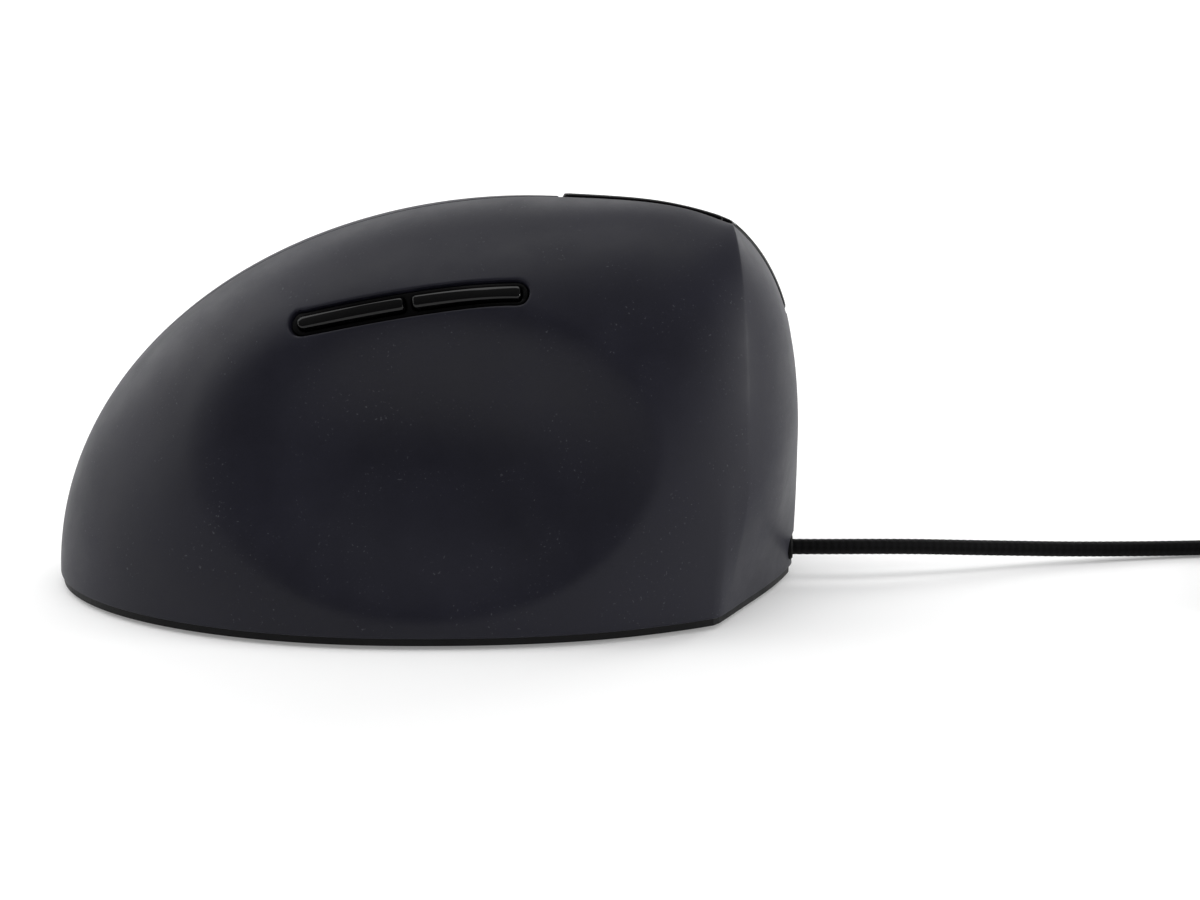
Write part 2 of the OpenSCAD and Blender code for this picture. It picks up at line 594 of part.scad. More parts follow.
base_plate();
thumb_shell();
palm_shell();
index_button();
middle_button();
wheel_strip();
wheel_hub();
wheel_tyre();
dpi_button();
side_bezel();
back_button();
forward_button();
front_glide();
rear_glide();
thumb_glide();
inner_frame();
main_pcb();
sensor_chip();
sensor_lens();
sensor_led();
controller_chip();
cord_socket();
cord_wires();
button_pcb();
index_switch();
index_plunger();
middle_switch();
middle_plunger();
wheel_carrier();
wheel_encoder();
wheel_switch();
wheel_plunger();
dpi_switch();
dpi_plunger();
side_pcb();
back_switch();
back_plunger();
forward_switch();
forward_plunger();
ribbon_cable();
side_ribbon();
base_screws();
pcb_screws();
side_screws();
strain_relief();
cord_lead();
cord_coil();
cord_tail();
cord_tie();
plug_body();
plug_shell();
plug_tongue();
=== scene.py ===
import json
import math

import bpy
import numpy as np
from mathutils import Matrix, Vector
from mathutils.kdtree import KDTree


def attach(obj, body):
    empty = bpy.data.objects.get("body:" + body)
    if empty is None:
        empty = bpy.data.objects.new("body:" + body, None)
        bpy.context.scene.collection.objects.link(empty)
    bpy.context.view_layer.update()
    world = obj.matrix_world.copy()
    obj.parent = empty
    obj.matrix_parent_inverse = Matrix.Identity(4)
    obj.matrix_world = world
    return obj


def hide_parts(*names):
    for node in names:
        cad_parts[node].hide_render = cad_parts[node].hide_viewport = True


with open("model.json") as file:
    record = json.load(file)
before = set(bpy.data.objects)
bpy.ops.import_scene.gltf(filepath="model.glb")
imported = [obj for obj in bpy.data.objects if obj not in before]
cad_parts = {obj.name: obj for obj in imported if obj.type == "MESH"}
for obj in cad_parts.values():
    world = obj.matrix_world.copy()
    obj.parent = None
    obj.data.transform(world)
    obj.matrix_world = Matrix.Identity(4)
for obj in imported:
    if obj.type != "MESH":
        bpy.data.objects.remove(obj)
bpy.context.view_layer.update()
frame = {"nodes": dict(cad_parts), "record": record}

# ---- Sizes, in millimetres as in the CAD model; meshes are scaled to metres at the end ----
MM = 0.001
NOSE_LEN, TAIL_LEN = 59.4, 60.6
THUMB_HALF, FINGER_HALF = 38.8, 37.2
RIDGE_TOP, RIDGE_DROP = 65.2, 3.2
SHELL_Z, AXIS_Y = 1.8, 0.8
TAIL_POWER, NOSE_POWER = 2.05, 2.35
RIDGE_X, RIDGE_Y = (20.0, 48.0), (-5.0, -10.0)
CREASE_AT, CREASE_AMP, CREASE_ROUND = 27.0, 2.0, 0.35
FINGER_CORNER, NOSE_SWELL, CORNER_R = 14.0, 0.9, 0.6
TUCK_END, TUCK_DEPTH, TUCK_RIDGE, TUCK_HIGH = 31.0, 3.0, 0.9, 0.45
DISH = {"x": 0.0, "z": 30.0, "a": 37.5, "b": 25.5, "depth": 10.5}
WALL = 2.2
ARC_MID, ARC_SPAN, ARC_SPLIT = 118.0, 25.0, 121.6
STRIP_LOW, STRIP_HIGH, MIDDLE_LOW = 0.555, 0.70, 0.27
SEAM, SEAM_SHARE = 0.35, 0.0045
NOSE_SEAM, MIDDLE_NOSE = -4.0, -9.0
WHEEL_X, WHEEL_R, WHEEL_W, WHEEL_DEPTH = 34.0, 10.5, 6.0, 7.7
DPI_X = -15.5
FINGER_TILT = math.radians(56)
CORD_D = 2.6

# ---- Body surface, the same formulas as the CAD model ----


def mix(a, b, f):
    return a + (b - a) * f


def smooth(f):
    c = np.clip(f, 0, 1)
    return c * c * (3 - 2 * c)


def tuck(p, h):
    """The lower nose is cut back between its middle and the crease, where a short ridge stands out."""
    cut = np.where((p > 0) & (p < TUCK_END), TUCK_DEPTH * np.sin(np.pi * p / TUCK_END), 0)
    beside = np.hypot(p - TUCK_END, CREASE_ROUND) - CREASE_ROUND
    return (1 - smooth(h / TUCK_HIGH)) * (TUCK_RIDGE * np.maximum(0, 1 - beside / 14) ** 2 - cut)


def outline(p, inset, h):
    c, s = np.cos(np.radians(p)), np.sin(np.radians(p))
    a = np.where(c > 0, NOSE_LEN, TAIL_LEN) - inset
    b = np.where(s > 0, THUMB_HALF, FINGER_HALF) - inset
    n = mix(TAIL_POWER, NOSE_POWER, smooth((1 + c) / 2))
    r = ((np.abs(c) / a) ** n + (np.abs(s) / b) ** n) ** (-1 / n) + tuck(p, h)
    return r * c, AXIS_Y - r * s


def ridge_share(p):
    edge = np.where(p > 0, CREASE_AT, FINGER_CORNER)
    f = (np.abs(p) - edge) / (180 - edge)
    return np.where(f <= 0, 1.0, (1 + np.cos(np.pi * np.clip(f, 0, 1))) / 2)


def powers(p):
    nose = smooth((62 - np.abs(p)) / 62)
    side = np.where(p > 0, 0.0, smooth((180 - np.abs(p)) / 80))
    return mix(mix(2.0, 1.5, side), 1.0, nose), mix(mix(2.0, 1.7, side), 4.8, nose)


def lean(p, h):
    k, m = powers(p)
    return 1 - np.maximum(0, 1 - h**m) ** (1 / k)


def dish(x, z):
    u, v = (x - DISH["x"]) / DISH["a"], (z - DISH["z"]) / DISH["b"]
    low = smooth(0.5 + 0.7 * (0.75 * u - 0.66 * v))
    return DISH["depth"] * np.maximum(0, 1 - u * u - v * v) ** mix(2.0, 1.35, low)


def skin(p, h, inset=0.0):
    """Places on the body surface, or on one inset from it, as an array of x, y, z in millimetres."""
    p, h = np.broadcast_arrays(np.asarray(p, float), np.asarray(h, float))
    bx, by = outline(p, inset, h)
    q, w = ridge_share(p), lean(p, h)
    z = mix(SHELL_Z, RIDGE_TOP - RIDGE_DROP * q**4 - inset, h)
    tip = CORNER_R * smooth((70 - np.abs(p)) / 45) * w
    wide = np.where(p > CREASE_AT, 34.0, CREASE_AT)
    away = np.hypot(p - CREASE_AT, CREASE_ROUND) - CREASE_ROUND
    t = np.maximum(0, 1 - away / wide) ** 2 * (p > 0)
    crease = CREASE_AMP * t * smooth(h / 0.35) * np.sqrt(np.maximum(0, 1 - w))
    out = NOSE_SWELL * smooth((60 - np.abs(p)) / 60) * 4 * h * (1 - h) + crease + tip
    c, s = np.cos(np.radians(p)), np.sin(np.radians(p))
    x = mix(bx, mix(*RIDGE_X, q), w) + out * c
    y = mix(by, mix(*RIDGE_Y, q), w) - out * s
    return np.stack([x, y + np.where(p > 0, dish(x, z), 0), z], -1)


def angle_at(x, h):
    """The angle at which the finger side reaches x at the height share h."""
    x, h = np.broadcast_arrays(np.asarray(x, float), np.asarray(h, float))
    low, high = np.full(x.shape, -176.0), np.full(x.shape, -2.0)
    for _ in range(18):
        p = (low + high) / 2
        short = skin(p, h)[..., 0] < x
        low, high = np.where(short, p, low), np.where(short, high, p)
    return (low + high) / 2


def arc_share(p):
    t = np.clip((p - ARC_MID) / ARC_SPAN, -1.1, 1.1)
    return 0.805 - 0.0495 * t - 0.0205 * t * t


def rear_x(h):
    return 2 + 19.7 * h


def front_angle(at, h):
    return at - np.minimum(30, 1.5 * SEAM / np.maximum(0.014, 1 - lean(np.float64(at), h)))


# ---- Meshes ----


def new_mesh(name, parts, material, sharp=40.0):
    """One object from parts, each a list of places in millimetres and a list of faces."""
    verts, faces = [], []
    for places, own in parts:
        start = len(verts)
        verts += (np.asarray(places, float) * MM).tolist()
        faces += [[int(k) + start for k in f] for f in own]
    mesh = bpy.data.meshes.new(name)
    mesh.from_pydata(verts, [], faces)
    mesh.validate()
    mesh.polygons.foreach_set("use_smooth", [True] * len(mesh.polygons))
    mesh.set_sharp_from_angle(angle=math.radians(sharp))
    mesh.materials.append(material)
    obj = bpy.data.objects.new(name, mesh)
    bpy.context.scene.collection.objects.link(obj)
    return obj


def corner_map(a, b, half_a, half_b, r, back=False):
    """Moves points of the rectangle half_a by half_b so that its corners become quarter circles of radius r,
    or moves points of the rounded shape back out to the rectangle."""
    ca, cb = np.abs(a) - (half_a - r), np.abs(b) - (half_b - r)
    inside = (ca > 0) & (cb > 0)
    size = np.maximum(1e-9, np.hypot(ca, cb))
    f = np.where(inside, np.maximum(ca, cb) / size, 1.0)
    f = 1 / f if back else f
    a2 = np.where(inside, np.sign(a) * (half_a - r + ca * f), a)
    b2 = np.where(inside, np.sign(b) * (half_b - r + cb * f), b)
    return a2, b2


def close_to_ends(a, b, n, near, ends=(True, True)):
    """n even steps from a to b, with the extra steps in near beside the ends."""
    way = 1 if b > a else -1
    extra = [a + way * d for d in near if ends[0]] + [b - way * d for d in near if ends[1]]
    pad = near[-1] if near else 0
    inner = np.linspace(a + way * pad * ends[0], b - way * pad * ends[1], n + 1)
    return sorted(set([a, b] + extra + list(inner)), reverse=way < 0)


class Layout:
    """A flat sheet of quads over grid lines us by vs, with holes cut out and ringed by loops of quads."""

    def __init__(self, us, vs):
        self.us, self.vs = np.asarray(us, float), np.asarray(vs, float)
        uu, vv = np.meshgrid(self.us, self.vs, indexing="ij")
        self.uv = [np.stack([uu.ravel(), vv.ravel()], -1)]
        self.count = len(self.uv[0])
        self.gone = np.zeros((len(us) - 1, len(vs) - 1), bool)
        self.rings = []

    def index(self, i, j):
        return i * len(self.vs) + j

    def cut(self, u0, u1, v0, v1):
        """Removes the cells between the grid lines nearest to the given values."""
        i0, i1 = (int(np.argmin(abs(self.us - u))) for u in (u0, u1))
        j0, j1 = (int(np.argmin(abs(self.vs - v))) for v in (v0, v1))
        i0, i1, j0, j1 = min(i0, i1), max(i0, i1), min(j0, j1), max(j0, j1)
        self.gone[i0:i1, j0:j1] = True
        loop = [(i, j0) for i in range(i0, i1)] + [(i1, j) for j in range(j0, j1)]
        loop += [(i, j1) for i in range(i1, i0, -1)] + [(i0, j) for j in range(j1, j0, -1)]
        return [self.index(i, j) for i, j in loop]

    def ring(self, loop, target, shares):
        """Fills from a loop of vertices in to the target outline, which has one place per vertex."""
        base = np.concatenate(self.uv)[loop]
        last = loop
        for f in shares:
            self.uv.append(mix(base, target, f))
            new = list(range(self.count, self.count + len(loop)))
            self.count += len(loop)
            n = len(loop)
            self.rings += [(last[k], last[(k + 1) % n], new[(k + 1) % n], new[k]) for k in range(n)]
            last = new

    def quads(self):
        nu, nv = self.gone.shape
        made = []
        for i in range(nu):
            for j in range(nv):
                if not self.gone[i, j]:
                    made.append((self.index(i, j), self.index(i + 1, j),
                                 self.index(i + 1, j + 1), self.index(i, j + 1)))
        return made + self.rings


def wall(top, back, quads):
    """The closed wall between two sheets that share their quads, as places and faces."""
    quads = np.asarray(quads)
    rim = rim_edges(quads)
    n = len(top)
    faces = quads.tolist() + (quads[:, ::-1] + n).tolist() + [(b, a, a + n, b + n) for a, b in rim.tolist()]
    normal = np.cross(top[quads[:, 2]] - top[quads[:, 0]], top[quads[:, 3]] - top[quads[:, 1]])
    if (normal * (top[quads].mean(1) - back[quads].mean(1))).sum() < 0:
        faces = [f[::-1] for f in faces]
    return np.concatenate([top, back]), faces


def rim_edges(quads):
    edges = np.concatenate([quads[:, [k, (k + 1) % 4]] for k in range(4)])
    _, first, counts = np.unique(np.sort(edges, 1), axis=0, return_index=True, return_counts=True)
    return edges[first[counts == 1]]


def sheet(layout, place, outer, inner, roll, crown=0.0, half=1.0):
    """A wall between two skins, its outer rims rolled to the radius roll and its middle crowned across v."""
    uv = np.concatenate(layout.uv)
    quads = np.array(layout.quads())
    used, quads = np.unique(quads, return_inverse=True)
    quads = quads.reshape(-1, 4)
    uv = uv[used]
    p, h = place(uv[:, 0], uv[:, 1])
    flat = skin(p, h, outer)
    rim = rim_edges(quads)
    tree = KDTree(len(rim) * 4)
    for k, (a, b) in enumerate(rim):
        for f in range(4):
            tree.insert(mix(flat[a], flat[b], f / 4), k * 4 + f)
    tree.balance()
    d = np.array([tree.find(v)[2] for v in flat])
    d[np.unique(rim)] = 0
    drop = np.where(d < roll, roll - np.sqrt(np.maximum(0, roll**2 - (roll - d) ** 2)), 0)
    drop = drop + crown * (uv[:, 1] / half) ** 2
    return wall(skin(p, h, outer + drop), skin(p, h, inner), quads)


def turned(profile, count, base=(0, 0, 0), axis=(0, 0, 1)):
    """A closed solid turned about an axis from base; its profile of radius and height ends on the axis."""
    turn = Vector(axis).to_track_quat("Z", "Y").to_matrix()
    angles = np.linspace(0, 2 * np.pi, count, endpoint=False)
    rings = [[(r * math.cos(a), r * math.sin(a), z) for a in angles] for r, z in profile]
    places = np.array([v for ring in rings for v in ring]) @ np.array(turn).T + np.array(base)
    return places, tube_faces(len(profile), count, True)


def tube_faces(rings, sides, capped=False, looped=False):
    faces = []
    for i in range(rings if looped else rings - 1):
        a, b = i * sides, (i + 1) % rings * sides
        faces += [(a + k, a + (k + 1) % sides, b + (k + 1) % sides, b + k) for k in range(sides)]
    if capped:
        faces += [list(range(sides))[::-1], [(rings - 1) * sides + k for k in range(sides)]]
    return faces


def rod(r, low, high, bevel=0.15):
    return [(r - bevel, low), (r, low + bevel), (r, high - bevel), (r - bevel, high)]


def bored_post(at, top, r, bore, deep):
    """A screw post that stands on the base plate, open at its lower end."""
    profile = [(bore, deep), (bore, 0.3), (bore + 0.3, 0), (r - 0.3, 0), (r, 0.3), (r, top - POST_FOOT)]
    return turned(profile, 32, (at[0], at[1], POST_FOOT))


def prism(outline_points, low, high, frame_of):
    """A straight solid on an outline in a local plane, between two levels."""
    n = len(outline_points)
    places = [(x, low, z) for x, z in outline_points] + [(x, high, z) for x, z in outline_points]
    faces = [list(range(n)), list(range(n, 2 * n))[::-1]]
    faces += [(k + n, (k + 1) % n + n, (k + 1) % n, k) for k in range(n)]
    return frame_of(np.array(places, float)), faces


# ---- Local frames of the finger side and of the side buttons ----
wheel_share = (STRIP_LOW + STRIP_HIGH) / 2
FINGER_ORIGIN = skin(angle_at(WHEEL_X, wheel_share), wheel_share)
FINGER_TURN = np.array([[1, 0, 0], [0, math.cos(FINGER_TILT), math.sin(FINGER_TILT)],
                        [0, -math.sin(FINGER_TILT), math.cos(FINGER_TILT)]])


def on_finger(places):
    return np.asarray(places, float) @ FINGER_TURN.T + FINGER_ORIGIN


def to_finger(places):
    return (np.asarray(places, float) - FINGER_ORIGIN) @ FINGER_TURN


THUMB_ORIGIN = np.array([-1, -23.4, 52.5])
THUMB_TILT, THUMB_YAW = math.radians(60), math.radians(-10)
THUMB_TURN = np.array(
    [[1, 0, 0],
     [0, math.cos(THUMB_TILT), -math.sin(THUMB_TILT)],
     [0, math.sin(THUMB_TILT), math.cos(THUMB_TILT)]]
) @ np.array(
    [[math.cos(THUMB_YAW), 0, math.sin(THUMB_YAW)],
     [0, 1, 0],
     [-math.sin(THUMB_YAW), 0, math.cos(THUMB_YAW)]]
)

# Distances along the side buttons' arc, in millimetres forward of the gap between them
ARC_P = np.linspace(152, 84, 137)
ARC_MIDS = skin(ARC_P, arc_share(ARC_P))
ARC_A = np.concatenate([[0], np.cumsum(np.linalg.norm(np.diff(ARC_MIDS, axis=0), axis=1))])
ARC_A = ARC_A - np.interp(-ARC_SPLIT, -ARC_P, ARC_A)
ARC_ALONG = np.gradient(ARC_MIDS, ARC_A, axis=0)
ARC_UP = (skin(ARC_P, arc_share(ARC_P) + 0.01) - skin(ARC_P, arc_share(ARC_P) - 0.01)) / 0.02
ARC_SLANT = (ARC_UP * ARC_ALONG).sum(1)
ARC_RISE = np.sqrt((ARC_UP**2).sum(1) - ARC_SLANT**2)


def on_arc(a, b):
    """Angle and share of a place a millimetres along the arc and b millimetres square across it."""
    d = b / np.interp(a, ARC_A, ARC_RISE)
    p = np.interp(a - np.interp(a, ARC_A, ARC_SLANT) * d, ARC_A, ARC_P)
    return p, arc_share(p) + d


# ---- Materials ----


class Nodes:
    """Short forms for building one material's node tree."""

    def __init__(self, name):
        self.material = bpy.data.materials.new(name)
        self.material.use_nodes = True
        self.tree = self.material.node_tree
        self.shader = self.tree.nodes["Principled BSDF"]
        self.coords = self.add("ShaderNodeTexCoord").outputs

    def add(self, kind, **values):
        node = self.tree.nodes.new(kind)
        for key, value in values.items():
            if key in node.inputs:
                self.put(node.inputs[key], value)
            else:
                setattr(node, key, value)
        return node

    def put(self, socket, value):
        if isinstance(value, bpy.types.NodeSocket):
            self.tree.links.new(value, socket)
        else:
            socket.default_value = value

    def set(self, **values):
        for key, value in values.items():
            self.put(self.shader.inputs[key.replace("_", " ")], value)

    def noise(self, size, detail=3.0, rough=0.5, coords=None):
        """Noise with features about size millimetres across."""
        node = self.add("ShaderNodeTexNoise", Scale=1 / (size * MM), Detail=detail, Roughness=rough)
        self.put(node.inputs["Vector"], coords or self.coords["Object"])
        return node.outputs["Fac"]

    def spread(self, fac, low, high, start=0.3, end=0.7):
        """Carries the middle of a noise's range over to low and high."""
        node = self.add("ShaderNodeMapRange")
        node.inputs["From Min"].default_value = start
        node.inputs["From Max"].default_value = end
        node.inputs["To Min"].default_value = low
        node.inputs["To Max"].default_value = high
        self.put(node.inputs["Value"], fac)
        return node.outputs["Result"]

    def math(self, kind, a, b=0.0):
        node = self.add("ShaderNodeMath", operation=kind)
        self.put(node.inputs[0], a)
        self.put(node.inputs[1], b)
        return node.outputs[0]

    def blend(self, fac, low, high):
        node = self.add("ShaderNodeMix", data_type="RGBA")
        self.put(node.inputs["Factor"], fac)
        self.put(node.inputs[6], low)
        self.put(node.inputs[7], high)
        return node.outputs[2]

    def tint(self, fac, low, high):
        return self.blend(fac, (*low, 1), (*high, 1))

    def bump(self, height, depth, strength=1.0, under=None):
        """Bump from a height of 0 to 1 that stands for depth millimetres."""
        node = self.add("ShaderNodeBump", Strength=strength, Distance=depth * MM)
        self.put(node.inputs["Height"], height)
        if under is not None:
            self.put(node.inputs["Normal"], under)
        return node.outputs["Normal"]


def moulded(name, colour, rough, grain=0.35, depth=0.012, vary=0.12, specular=0.5, **sockets):
    """A moulded surface: fine grain, faint cloudy change of tone and uneven gloss."""
    n = Nodes(name)
    cloud = n.spread(n.noise(9, 4), 0, 1)
    low = [c * (1 - vary) for c in colour]
    high = [c * (1 + vary) for c in colour]
    n.set(Base_Color=n.tint(cloud, low, high), Specular_IOR_Level=specular, **sockets)
    n.set(Roughness=n.spread(n.noise(5, 5, 0.6), rough * 0.88, min(1, rough * 1.12)))
    n.set(Normal=n.bump(n.noise(grain, 2), depth))
    return n.material


def soft_touch(name):
    """The rubber-like coat: a fine matt grain over slow patches, with a faint bloom of skin oil."""
    n = Nodes(name)
    speck = n.spread(n.noise(0.28, 2, 0.7), -0.5, 0.5, 0.35, 0.65)
    cloud = n.spread(n.noise(14, 3), 0, 1)
    tone = n.math("ADD", n.math("MULTIPLY", speck, 0.5), cloud)
    dust = n.spread(n.noise(0.45, 1), 0, 1, 0.68, 0.76)
    dust = n.math("MULTIPLY", dust, n.spread(n.noise(7, 2), 0, 0.8, 0.48, 0.62))
    n.set(Base_Color=n.blend(dust, n.tint(tone, COAT_LOW, COAT_HIGH), (*DUST, 1)), Specular_IOR_Level=0.26)
    n.set(Roughness=n.spread(n.noise(7, 5, 0.65), 0.46, 0.56), Sheen_Weight=0.03, Sheen_Roughness=0.4)
    fine = n.bump(n.noise(0.22, 3, 0.6), 0.010)
    n.set(Normal=n.bump(n.noise(2.2, 2), 0.010, 1.0, fine))
    return n.material


def glossy(name, colour, rough=0.06):
    """Polished black plastic with faint ripple from the mould and a few hair-thin rubs."""
    n = Nodes(name)
    rub = n.spread(n.noise(1.1, 6, 0.75), 0, 1, 0.55, 0.8)
    n.set(Base_Color=n.tint(rub, colour, [c * 1.8 + 0.0006 for c in colour]), Specular_IOR_Level=0.3)
    n.set(Roughness=n.spread(rub, rough, rough + 0.06, 0, 1), Normal=n.bump(n.noise(4, 1), 0.006))
    return n.material


def circuit_board(name):
    """Solder mask over a maze of tracks."""
    n = Nodes(name)
    maze = n.add("ShaderNodeTexVoronoi", Scale=1 / (TRACK_PITCH * MM))
    maze.feature, maze.distance = "DISTANCE_TO_EDGE", "MANHATTAN"
    n.put(maze.inputs["Vector"], n.coords["Object"])
    track = n.spread(maze.outputs["Distance"], 1, 0, 0.05, 0.11)
    n.set(Base_Color=n.tint(track, (0.006, 0.05, 0.016), (0.02, 0.11, 0.035)), Specular_IOR_Level=0.55)
    n.set(Roughness=n.spread(n.noise(3), 0.28, 0.4), Normal=n.bump(track, 0.03))
    return n.material


def metal(name, colour, rough, line=0.12):
    """Plated steel with faint drawing lines."""
    n = Nodes(name)
    stretch = n.add("ShaderNodeMapping")
    n.put(stretch.inputs["Vector"], n.coords["Object"])
    stretch.inputs["Scale"].default_value = (0.06, 1, 1)
    lines = n.noise(line, 3, 0.6, stretch.outputs["Vector"])
    n.set(Base_Color=n.tint(n.noise(3), [c * 0.9 for c in colour], colour), Metallic=1.0)
    n.set(Roughness=n.spread(lines, rough * 0.8, rough * 1.25), Normal=n.bump(lines, 0.004))
    return n.material


def braid(name):
    """Black yarn braided over the cord: two sets of strands that wind against each other, with painted shade
    darkening the dips between them.
    """
    n = Nodes(name)
    split = n.add("ShaderNodeSeparateXYZ")
    n.put(split.inputs[0], n.coords["UV"])
    around = n.math("MULTIPLY", split.outputs["X"], 2 * math.pi * BRAID_STRANDS)
    along = n.math("MULTIPLY", split.outputs["Y"], 2 * math.pi)
    left = n.math("SINE", n.math("ADD", around, along))
    right = n.math("SINE", n.math("SUBTRACT", around, along))
    strands = n.math("MULTIPLY", left, right)
    over = n.spread(strands, 0, 1, -0.8, 0.8)
    fibre = n.noise(0.12, 3, 0.6)
    height = n.math("ADD", over, n.math("MULTIPLY", fibre, 0.4))
    # The yarn's colour darkens where the strands dip under each other: painted shade between the strands, from
    # the same mask as the bump.
    n.set(Base_Color=n.tint(over, YARN_PAINTED_SHADE, YARN_HIGH), Specular_IOR_Level=0.12)
    n.set(Roughness=n.spread(fibre, 0.6, 0.85), Normal=n.bump(height, 0.12), Sheen_Weight=0.01)
    return n.material


def clear_plastic(name):
    n = Nodes(name)
    n.set(Base_Color=n.tint(n.noise(5), (0.9, 0.93, 0.95), (1, 1, 1)), Transmission_Weight=0.92, IOR=1.49)
    n.set(Roughness=n.spread(n.noise(2), 0.03, 0.08), Normal=n.bump(n.noise(3, 1), 0.004))
    return n.material


COAT_LOW, COAT_HIGH = (0.0064, 0.0064, 0.0128), (0.0086, 0.0086, 0.0168)
DUST = (0.05, 0.05, 0.06)
# The first yarn tone is painted shade for the dips between strands; the second is the yarn on top.
YARN_PAINTED_SHADE, YARN_HIGH = (0.0008, 0.0008, 0.0009), (0.0035, 0.0035, 0.004)
BRAID_STRANDS, BRAID_LAY, TRACK_PITCH = 3, 2.4, 2.4
FINISH = {
    "soft_coat": soft_touch("soft_touch_coat"),
    "gloss_black": glossy("gloss_black_plastic", (0.0010, 0.0010, 0.0012)),
    "bezel_black": moulded("bezel_plastic", (0.0012, 0.0012, 0.0014), 0.34, 0.3, 0.005, 0.2, 0.08),
    "base_black": moulded("base_plastic", (0.0035, 0.0035, 0.0040), 0.5, 0.45, 0.03, 0.12, 0.15),
    "inner_black": moulded("inner_plastic", (0.018, 0.018, 0.020), 0.42, 0.5, 0.015),
    "wheel_rubber": moulded("wheel_rubber", (0.012, 0.012, 0.013), 0.7, 0.3, 0.02, 0.15, 0.35,
                            Sheen_Weight=0.1),
    "glide": moulded("glide_film", (0.030, 0.030, 0.032), 0.36, 0.8, 0.008, 0.15),
    "board_green": circuit_board("circuit_board"),
    "chip_black": moulded("chip_resin", (0.012, 0.012, 0.013), 0.5, 0.15, 0.01),
    "clear_lens": clear_plastic("clear_lens"),
    "led_red": moulded("led_resin", (0.55, 0.03, 0.02), 0.12, 0.6, 0.003, 0.1, Transmission_Weight=0.4),
    "white_plastic": moulded("white_plastic", (0.70, 0.70, 0.68), 0.36, 0.5, 0.008, 0.04),
    "ribbon_grey": moulded("ribbon_film", (0.42, 0.43, 0.44), 0.4, 0.9, 0.02, 0.06),
    "screw_steel": metal("screw_steel", (0.48, 0.48, 0.50), 0.3),
    "cord_black": braid("cord_braid"),
    "tie_black": moulded("tie_webbing", (0.010, 0.010, 0.011), 0.8, 0.25, 0.08, 0.25, 0.3,
                         Sheen_Weight=0.2),
    "plug_black": moulded("plug_plastic", (0.012, 0.012, 0.013), 0.45, 0.4, 0.02),
    "plug_steel": metal("plug_steel", (0.62, 0.62, 0.64), 0.2),
}

SLOTS = {row["node"]: row["material_slot"] for row in frame["record"]["subparts"]}
NODE_BODY = {node: body for body, nodes in frame["record"]["behaviour"]["bodies"].items() for node in nodes}


replaced = set()


def stands_for(obj, *nodes):
    """Fits a piece into the frame in place of its CAD nodes, on their body, and hides the nodes."""
    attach(obj, NODE_BODY[nodes[0]])
    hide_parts(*nodes)
    replaced.update(nodes)
    return obj


# ---- Camera ----
TARGET = np.array([27.9, 0, 21.7]) * MM
CAMERA_TILT, CAMERA_AWAY = math.radians(16), 0.7
camera = bpy.data.objects.new("camera", bpy.data.cameras.new("camera"))
bpy.context.scene.collection.objects.link(camera)
camera.data.sensor_width = 36
camera.data.lens = 128.7
camera.data.clip_start = 0.01
camera.location = TARGET + CAMERA_AWAY * np.array([0, -math.cos(CAMERA_TILT), math.sin(CAMERA_TILT)])
camera.rotation_euler = (math.pi / 2 - CAMERA_TILT, 0, 0)
bpy.context.scene.camera = camera
bpy.context.scene.view_settings.view_transform = "Standard"

# ---- Cord ----
LEAD = [[59.5, 0, 5.2], [66, 0, 5.2], [72, 0.4, 5.1], [80, 1.6, 4.7], [88, 3.4, 4], [97, 5.8, 3.1],
        [106, 8, 2.3], [116, 10, 1.7], [126, 11.4, 1.4], [136, 12.2, 1.4], [144, 12.4, 1.4], [150, 12.4, 1.4]]
TAIL = [[136.4, -7, 9.2], [135.4, -2, 9.1], [134.4, 4, 8.4], [134, 10, 7.2], [134.6, 16, 5.8],
        [136.8, 21.6, 4.7], [140.6, 25.8, 4.2], [145.6, 28, 4.1], [151, 28.4, 4.1]]
COIL_AT = (152, -6.5)
COIL_TURNS, COIL_COLUMNS = 14.75, 4
COIL_R, COIL_PITCH, COIL_LOW = 18.9, 2.64, 1.4
STEP_IN, STEP_UP = (270, 315), (315, 360)
PLUG_AT = (151, 28.4, 4.1)


def curve(points, n):
    """The smooth curve of the CAD model through the points, n steps between each pair."""
    pts = [np.array(v, float) for v in points]
    made = []
    for i in range(len(pts) - 1):
        a, b, c, d = pts[max(i - 1, 0)], pts[i], pts[i + 1], pts[min(i + 2, len(pts) - 1)]
        for f in np.arange(n) / n:
            made.append(b + 0.5 * f * (c - a + f * (2 * a - 5 * b + 4 * c - d + f * (3 * (b - c) + d - a))))
    return np.array(made + [pts[-1]])


def coil_place(turn):
    """Centre of the cord after so many turns, clockwise from above; its flat layers wind in and out."""
    whole, degrees = int(turn), (turn % 1) * 360
    layer, step = divmod(whole, COIL_COLUMNS)
    inward = layer % 2 == 0
    column = step if inward else COIL_COLUMNS - 1 - step
    last = step == COIL_COLUMNS - 1
    aside = 0 if last else smooth((degrees - STEP_IN[0]) / (STEP_IN[1] - STEP_IN[0]))
    up = smooth((degrees - STEP_UP[0]) / (STEP_UP[1] - STEP_UP[0])) if last else 0
    r = COIL_R - COIL_PITCH * (column + (aside if inward else -aside))
    angle = math.radians(90 - degrees)
    x, y = COIL_AT[0] + r * math.cos(angle), COIL_AT[1] + r * math.sin(angle)
    return (x, y, COIL_LOW + CORD_D * (layer + up))


def resampled(path, gaps):
    """The path's places at the given distances from its start."""
    run = np.concatenate([[0], np.cumsum(np.linalg.norm(np.diff(path, axis=0), axis=1))])
    return np.stack([np.interp(gaps, run, path[:, k]) for k in range(3)], -1)


def length_of(path):
    return float(np.linalg.norm(np.diff(path, axis=0), axis=1).sum())


